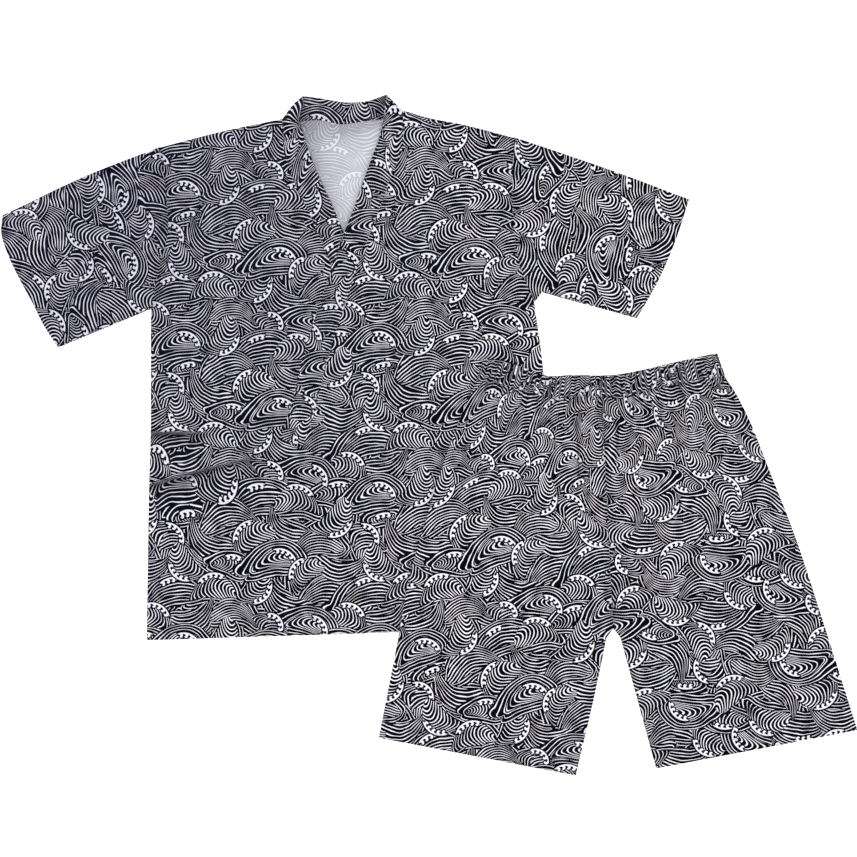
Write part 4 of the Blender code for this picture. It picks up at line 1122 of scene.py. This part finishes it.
def makeWaistband():
    columns = 6 * shorts["gathers"]
    seam = curveThrough(shorts["casingSeam"], columns) + (0.0, cotton["seam"])
    edge = curveThrough(shorts["waist"], columns)
    share = np.linspace(0.0, 1.0, columns + 1)
    up = np.linspace(0.0, 1.0, 8)
    plan = np.stack([seam * (1 - s) + edge * s for s in up], axis=1)
    plan, endGap = withLips(plan), 0.2 / columns
    share = np.insert(share, [1, columns], [endGap, 1 - endGap])
    low = shortsLift(plan)
    rows = np.concatenate([up[:1], [0.03], up[1:-1], [0.97], up[-1:]])
    puff = 0.35 + 0.65 * np.sin(np.pi * rows)          # fullest between the two rows of stitching
    ridges = gatherWave(share, shorts["casingRise"])[:, None] * puff[None]
    upper = low + frontBase + cotton["seam"] + cotton["wall"] + ridges
    # across the cloth, the way is slow over each gather and quick where it goes under
    hides = shorts["casingHides"] * gatherHides(share)
    across = shorts["waistWidth"] * shorts["gatherFullness"] * (share + hides)
    # the print sways up and down by up to 2.6 mm, as gathered cloth does
    crumple = 2.6 * np.sin(2 * np.pi * 19.0 * share) * np.sin(2 * np.pi * 7.3 * share + 1.0)
    onCloth = np.stack([np.repeat(across[:, None], len(rows), axis=1) + 70.0,
                        rows[None] * shorts["casingDepth"] + crumple[:, None] + 78.0], axis=-1)
    shell = tubeShell(plan, upper, low, cotton["wall"], onCloth, [onCloth[-1, 0], onCloth[-1, -1]])
    surface, (seamRow, topRow) = raised(plan, upper), shorts["casingStitch"]
    # painted shade in the valleys between the gathers, strongest between the rows of stitches
    valley = np.clip(1 - 1.45 * gatherWave(share, 1.0), 0.0, 1.0)[:, None]
    paintedShade = 0.85 * valley ** 1.5 * np.minimum(puff[None], 0.9)
    addPiece("waistband", shell, {"node": "shorts_waistband", "held": "gathered", "on": ["topFrontLeft"]},
             paintedShade=paintedShade, seams=[insetRow(surface, seamRow), insetRow(surface[:, ::-1], topRow)])


def makeLegs():
    half = len(shorts["casingSeam"]) // 2
    inseamCells, cornerCells, centreCells = 40, 4, 64
    rows = inseamCells + cornerCells + centreCells
    centre = curveThrough(shorts["centreSeam"], centreCells)
    gap = np.array([cotton["seam"], 0.0])
    for side, back in (("right", True), ("right", False), ("left", True), ("left", False)):
        across = 72 if back else 144
        seamPart = shorts["casingSeam"][:half + 1] if side == "right" else shorts["casingSeam"][half:]
        casing = curveThrough(seamPart, across)
        rightLeg = side == "right"
        inseam = shorts["rightInseam"] if rightLeg else shorts["leftInseam"]
        outseam = shorts["rightOutseam"] if rightLeg else shorts["leftOutseam"]
        middle = centre if rightLeg else centre + gap
        if not rightLeg:
            casing[0] += gap
        outer = curveThrough(outseam, rows)
        inner = endToEnd(curveThrough(inseam, inseamCells),
                         curveThrough([inseam[-1], middle[0]], cornerCells), middle)
        hemEnds = [outseam[0], inseam[0]] if rightLeg else [inseam[0], outseam[0]]
        left, right = (outer, inner) if rightLeg else (inner, outer)
        plan = between(curveThrough(hemEnds, across), casing, left, right)
        u = np.linspace(0.0, 1.0, across + 1)
        u = np.insert(u, [1, across], [cotton["lip"] / across, 1 - cotton["lip"] / across])[:, None]
        v = np.linspace(0.0, 1.0, rows + 1)
        v = np.insert(v, [1, rows], [cotton["lip"] / rows, 1 - cotton["lip"] / rows])[None, :]
        low = shortsLift(plan)
        # the cloth is wider than the figure at the gathers, so the print is drawn together there
        waistShare = u / 2 if rightLeg else 0.5 + u / 2
        fromCasing = awayFrom(plan, [shorts["casingSeam"]])
        hidden = shorts["waistWidth"] * gatherHides(waistShare) * np.exp(-fromCasing / shorts["hiddenFade"])
        onCloth = legCloth(plan, side, v, back, hidden)
        if back:
            addPiece(f"shorts{side.title()}Back",
                     panelShell(plan, low, cotton["wall"], onCloth, printUp=False),
                     {"node": f"shorts_{side}_back", "held": "laid", "on": ["topFrontLeft"]})
            continue
        margin = 1 / 26       # of the leg's width at each side, which stays flat
        flat = np.clip((u - margin) / (1 - 2 * margin), 0.0, 1.0)
        flare = shorts["flareRise"] * (0.5 - 0.5 * np.cos(2 * np.pi * shorts["flares"] * flat)) * ease(
            shorts["flareFrom"], shorts["flareTo"], v)
        fade = shorts["gatherFade"] * (0.75 + 0.45 * np.sin(2 * np.pi * 13.7 * waistShare) ** 2)
        gathers = gatherWave(waistShare, shorts["gatherRise"]) * np.exp(-fromCasing / fade)
        sideSeams = [shorts[edge] for edge in ("rightOutseam", "leftOutseam", "rightInseam", "leftInseam")]
        flatten = 1 - softLine(plan, sideSeams, 14)
        sink = softLine(plan, [shorts["centreSeam"]], 6)
        lift = flatten * (shorts["flareShown"] * flare + gathers + foldRise(plan, shorts["folds"])
                          + ripple(plan, shorts["ripple"], 8) + cotton["pucker"]) * (1 - 0.85 * sink)
        lift = lift + hemLift(plan, hemEnds)
        crease = foldRise(plan, shorts["creases"])
        settled = np.maximum(lift - shorts["creaseDepth"] * crease, shorts["lowest"])
        under = low + frontBase + cotton["seam"] + settled
        # painted shade in the gather valleys below the casing, along its seam, along the centre seam and in
        # the creases
        paintedShade = (0.75 * (1 - gatherWave(waistShare, 1.0)) ** 2 * np.exp(-fromCasing / shorts["shadeFade"])
                + 0.3 * np.exp(-(fromCasing / 5) ** 2) + 0.5 * sink + 0.9 * crease ** 2)
        addPiece(f"shorts{side.title()}Front", panelShell(plan, under, cotton["wall"], onCloth),
                 {"node": f"shorts_{side}_front", "held": "gathered", "on": [f"shorts{side.title()}Back"]},
                 paintedShade=paintedShade, seams=[insetRow(raised(plan, under + cotton["wall"]), top["hemTurn"][0])])


def legCloth(plan, side, v, back, hidden):
    # cloth across is widened from the middle of the leg towards the casing, where gathers hide it
    fuller = 1 + (shorts["gatherFullness"] - 1) * ease(0.55, 1.0, v)
    middle = plan[plan.shape[0] // 2][None]
    wide = plan.copy()
    wide[..., 0] = middle[..., 0] + (plan - middle)[..., 0] * fuller + hidden
    if back:
        return printed(wide * [-1, 1], 0, (20, 50))
    return printed(wide, 12, (0, 0)) if side == "right" else printed(wide, 168, (90, 40))


makeTopBack()
makeTopFronts()
makeCollar()
makeSleeves()
makeWaistband()
makeLegs()
print("pieces made")

light = {
    "lamps": {          # place, m, size, m, power, W, and colour
        "soft box, upper left": ((-1.3, 1.5, 1.9), 1.4, 24.0, (1.0, 0.982, 0.985)),
        "fill, lower right": ((1.6, -1.4, 2.2), 2.0, 17.0, (0.97, 0.963, 1.0))},
    "air": 0.75, "airColour": (0.975, 0.966, 1.0, 1.0),
}


def addArea(name, at, size, power, colour):
    # a square soft box that faces the middle of the set
    lamp = bpy.data.lights.new(name, "AREA")
    lamp.shape, lamp.size, lamp.energy = "SQUARE", size, power
    lamp.color = colour
    box = bpy.data.objects.new(name, lamp)
    box.location = at
    toMiddle = -box.location
    box.rotation_euler = toMiddle.to_track_quat("-Z", "Y").to_euler()
    bpy.context.scene.collection.objects.link(box)


for name, numbers in light["lamps"].items():
    addArea(name, *numbers)

world = bpy.data.worlds.new("room")
world.use_nodes = True
air = world.node_tree.nodes["Background"]
air.inputs["Color"].default_value = light["airColour"]
air.inputs["Strength"].default_value = light["air"]
bpy.context.scene.world = world
bpy.context.scene.view_settings.view_transform = "Standard"

floorMesh = bpy.data.meshes.new("floor")
floorHalf, floorTop = 60.0, -0.0005         # so wide that low views see no edge of it
floorCorners = ((-1, -1), (1, -1), (1, 1), (-1, 1))
floorMesh.from_pydata([(x * floorHalf, y * floorHalf, floorTop) for x, y in floorCorners], [], [(0, 1, 2, 3)])
floor = bpy.data.objects.new("floor", floorMesh)
bpy.context.scene.collection.objects.link(floor)
paper = bpy.data.materials.new("white backdrop paper")
paper.use_nodes = True
paperShader = paper.node_tree.nodes["Principled BSDF"]
paperShader.inputs["Base Color"].default_value = (0.9, 0.9, 0.9, 1.0)
paperShader.inputs["Roughness"].default_value = 1.0
paperShader.inputs["Emission Color"].default_value = (1.0, 1.0, 1.0, 1.0)
paperShader.inputs["Emission Strength"].default_value = 0.6
floorMesh.materials.append(paper)

view = {"at": (-0.0010, 0.0093), "height": 3.2, "across": 1.2307}      # m; across is what it takes in
camera = bpy.data.cameras.new("camera")
camera.type = "PERSP"
camera.sensor_width = 36.0
camera.lens = camera.sensor_width * view["height"] / view["across"]
cameraObject = bpy.data.objects.new("camera", camera)
cameraObject.location = (*view["at"], view["height"])
bpy.context.scene.collection.objects.link(cameraObject)
bpy.context.scene.camera = cameraObject
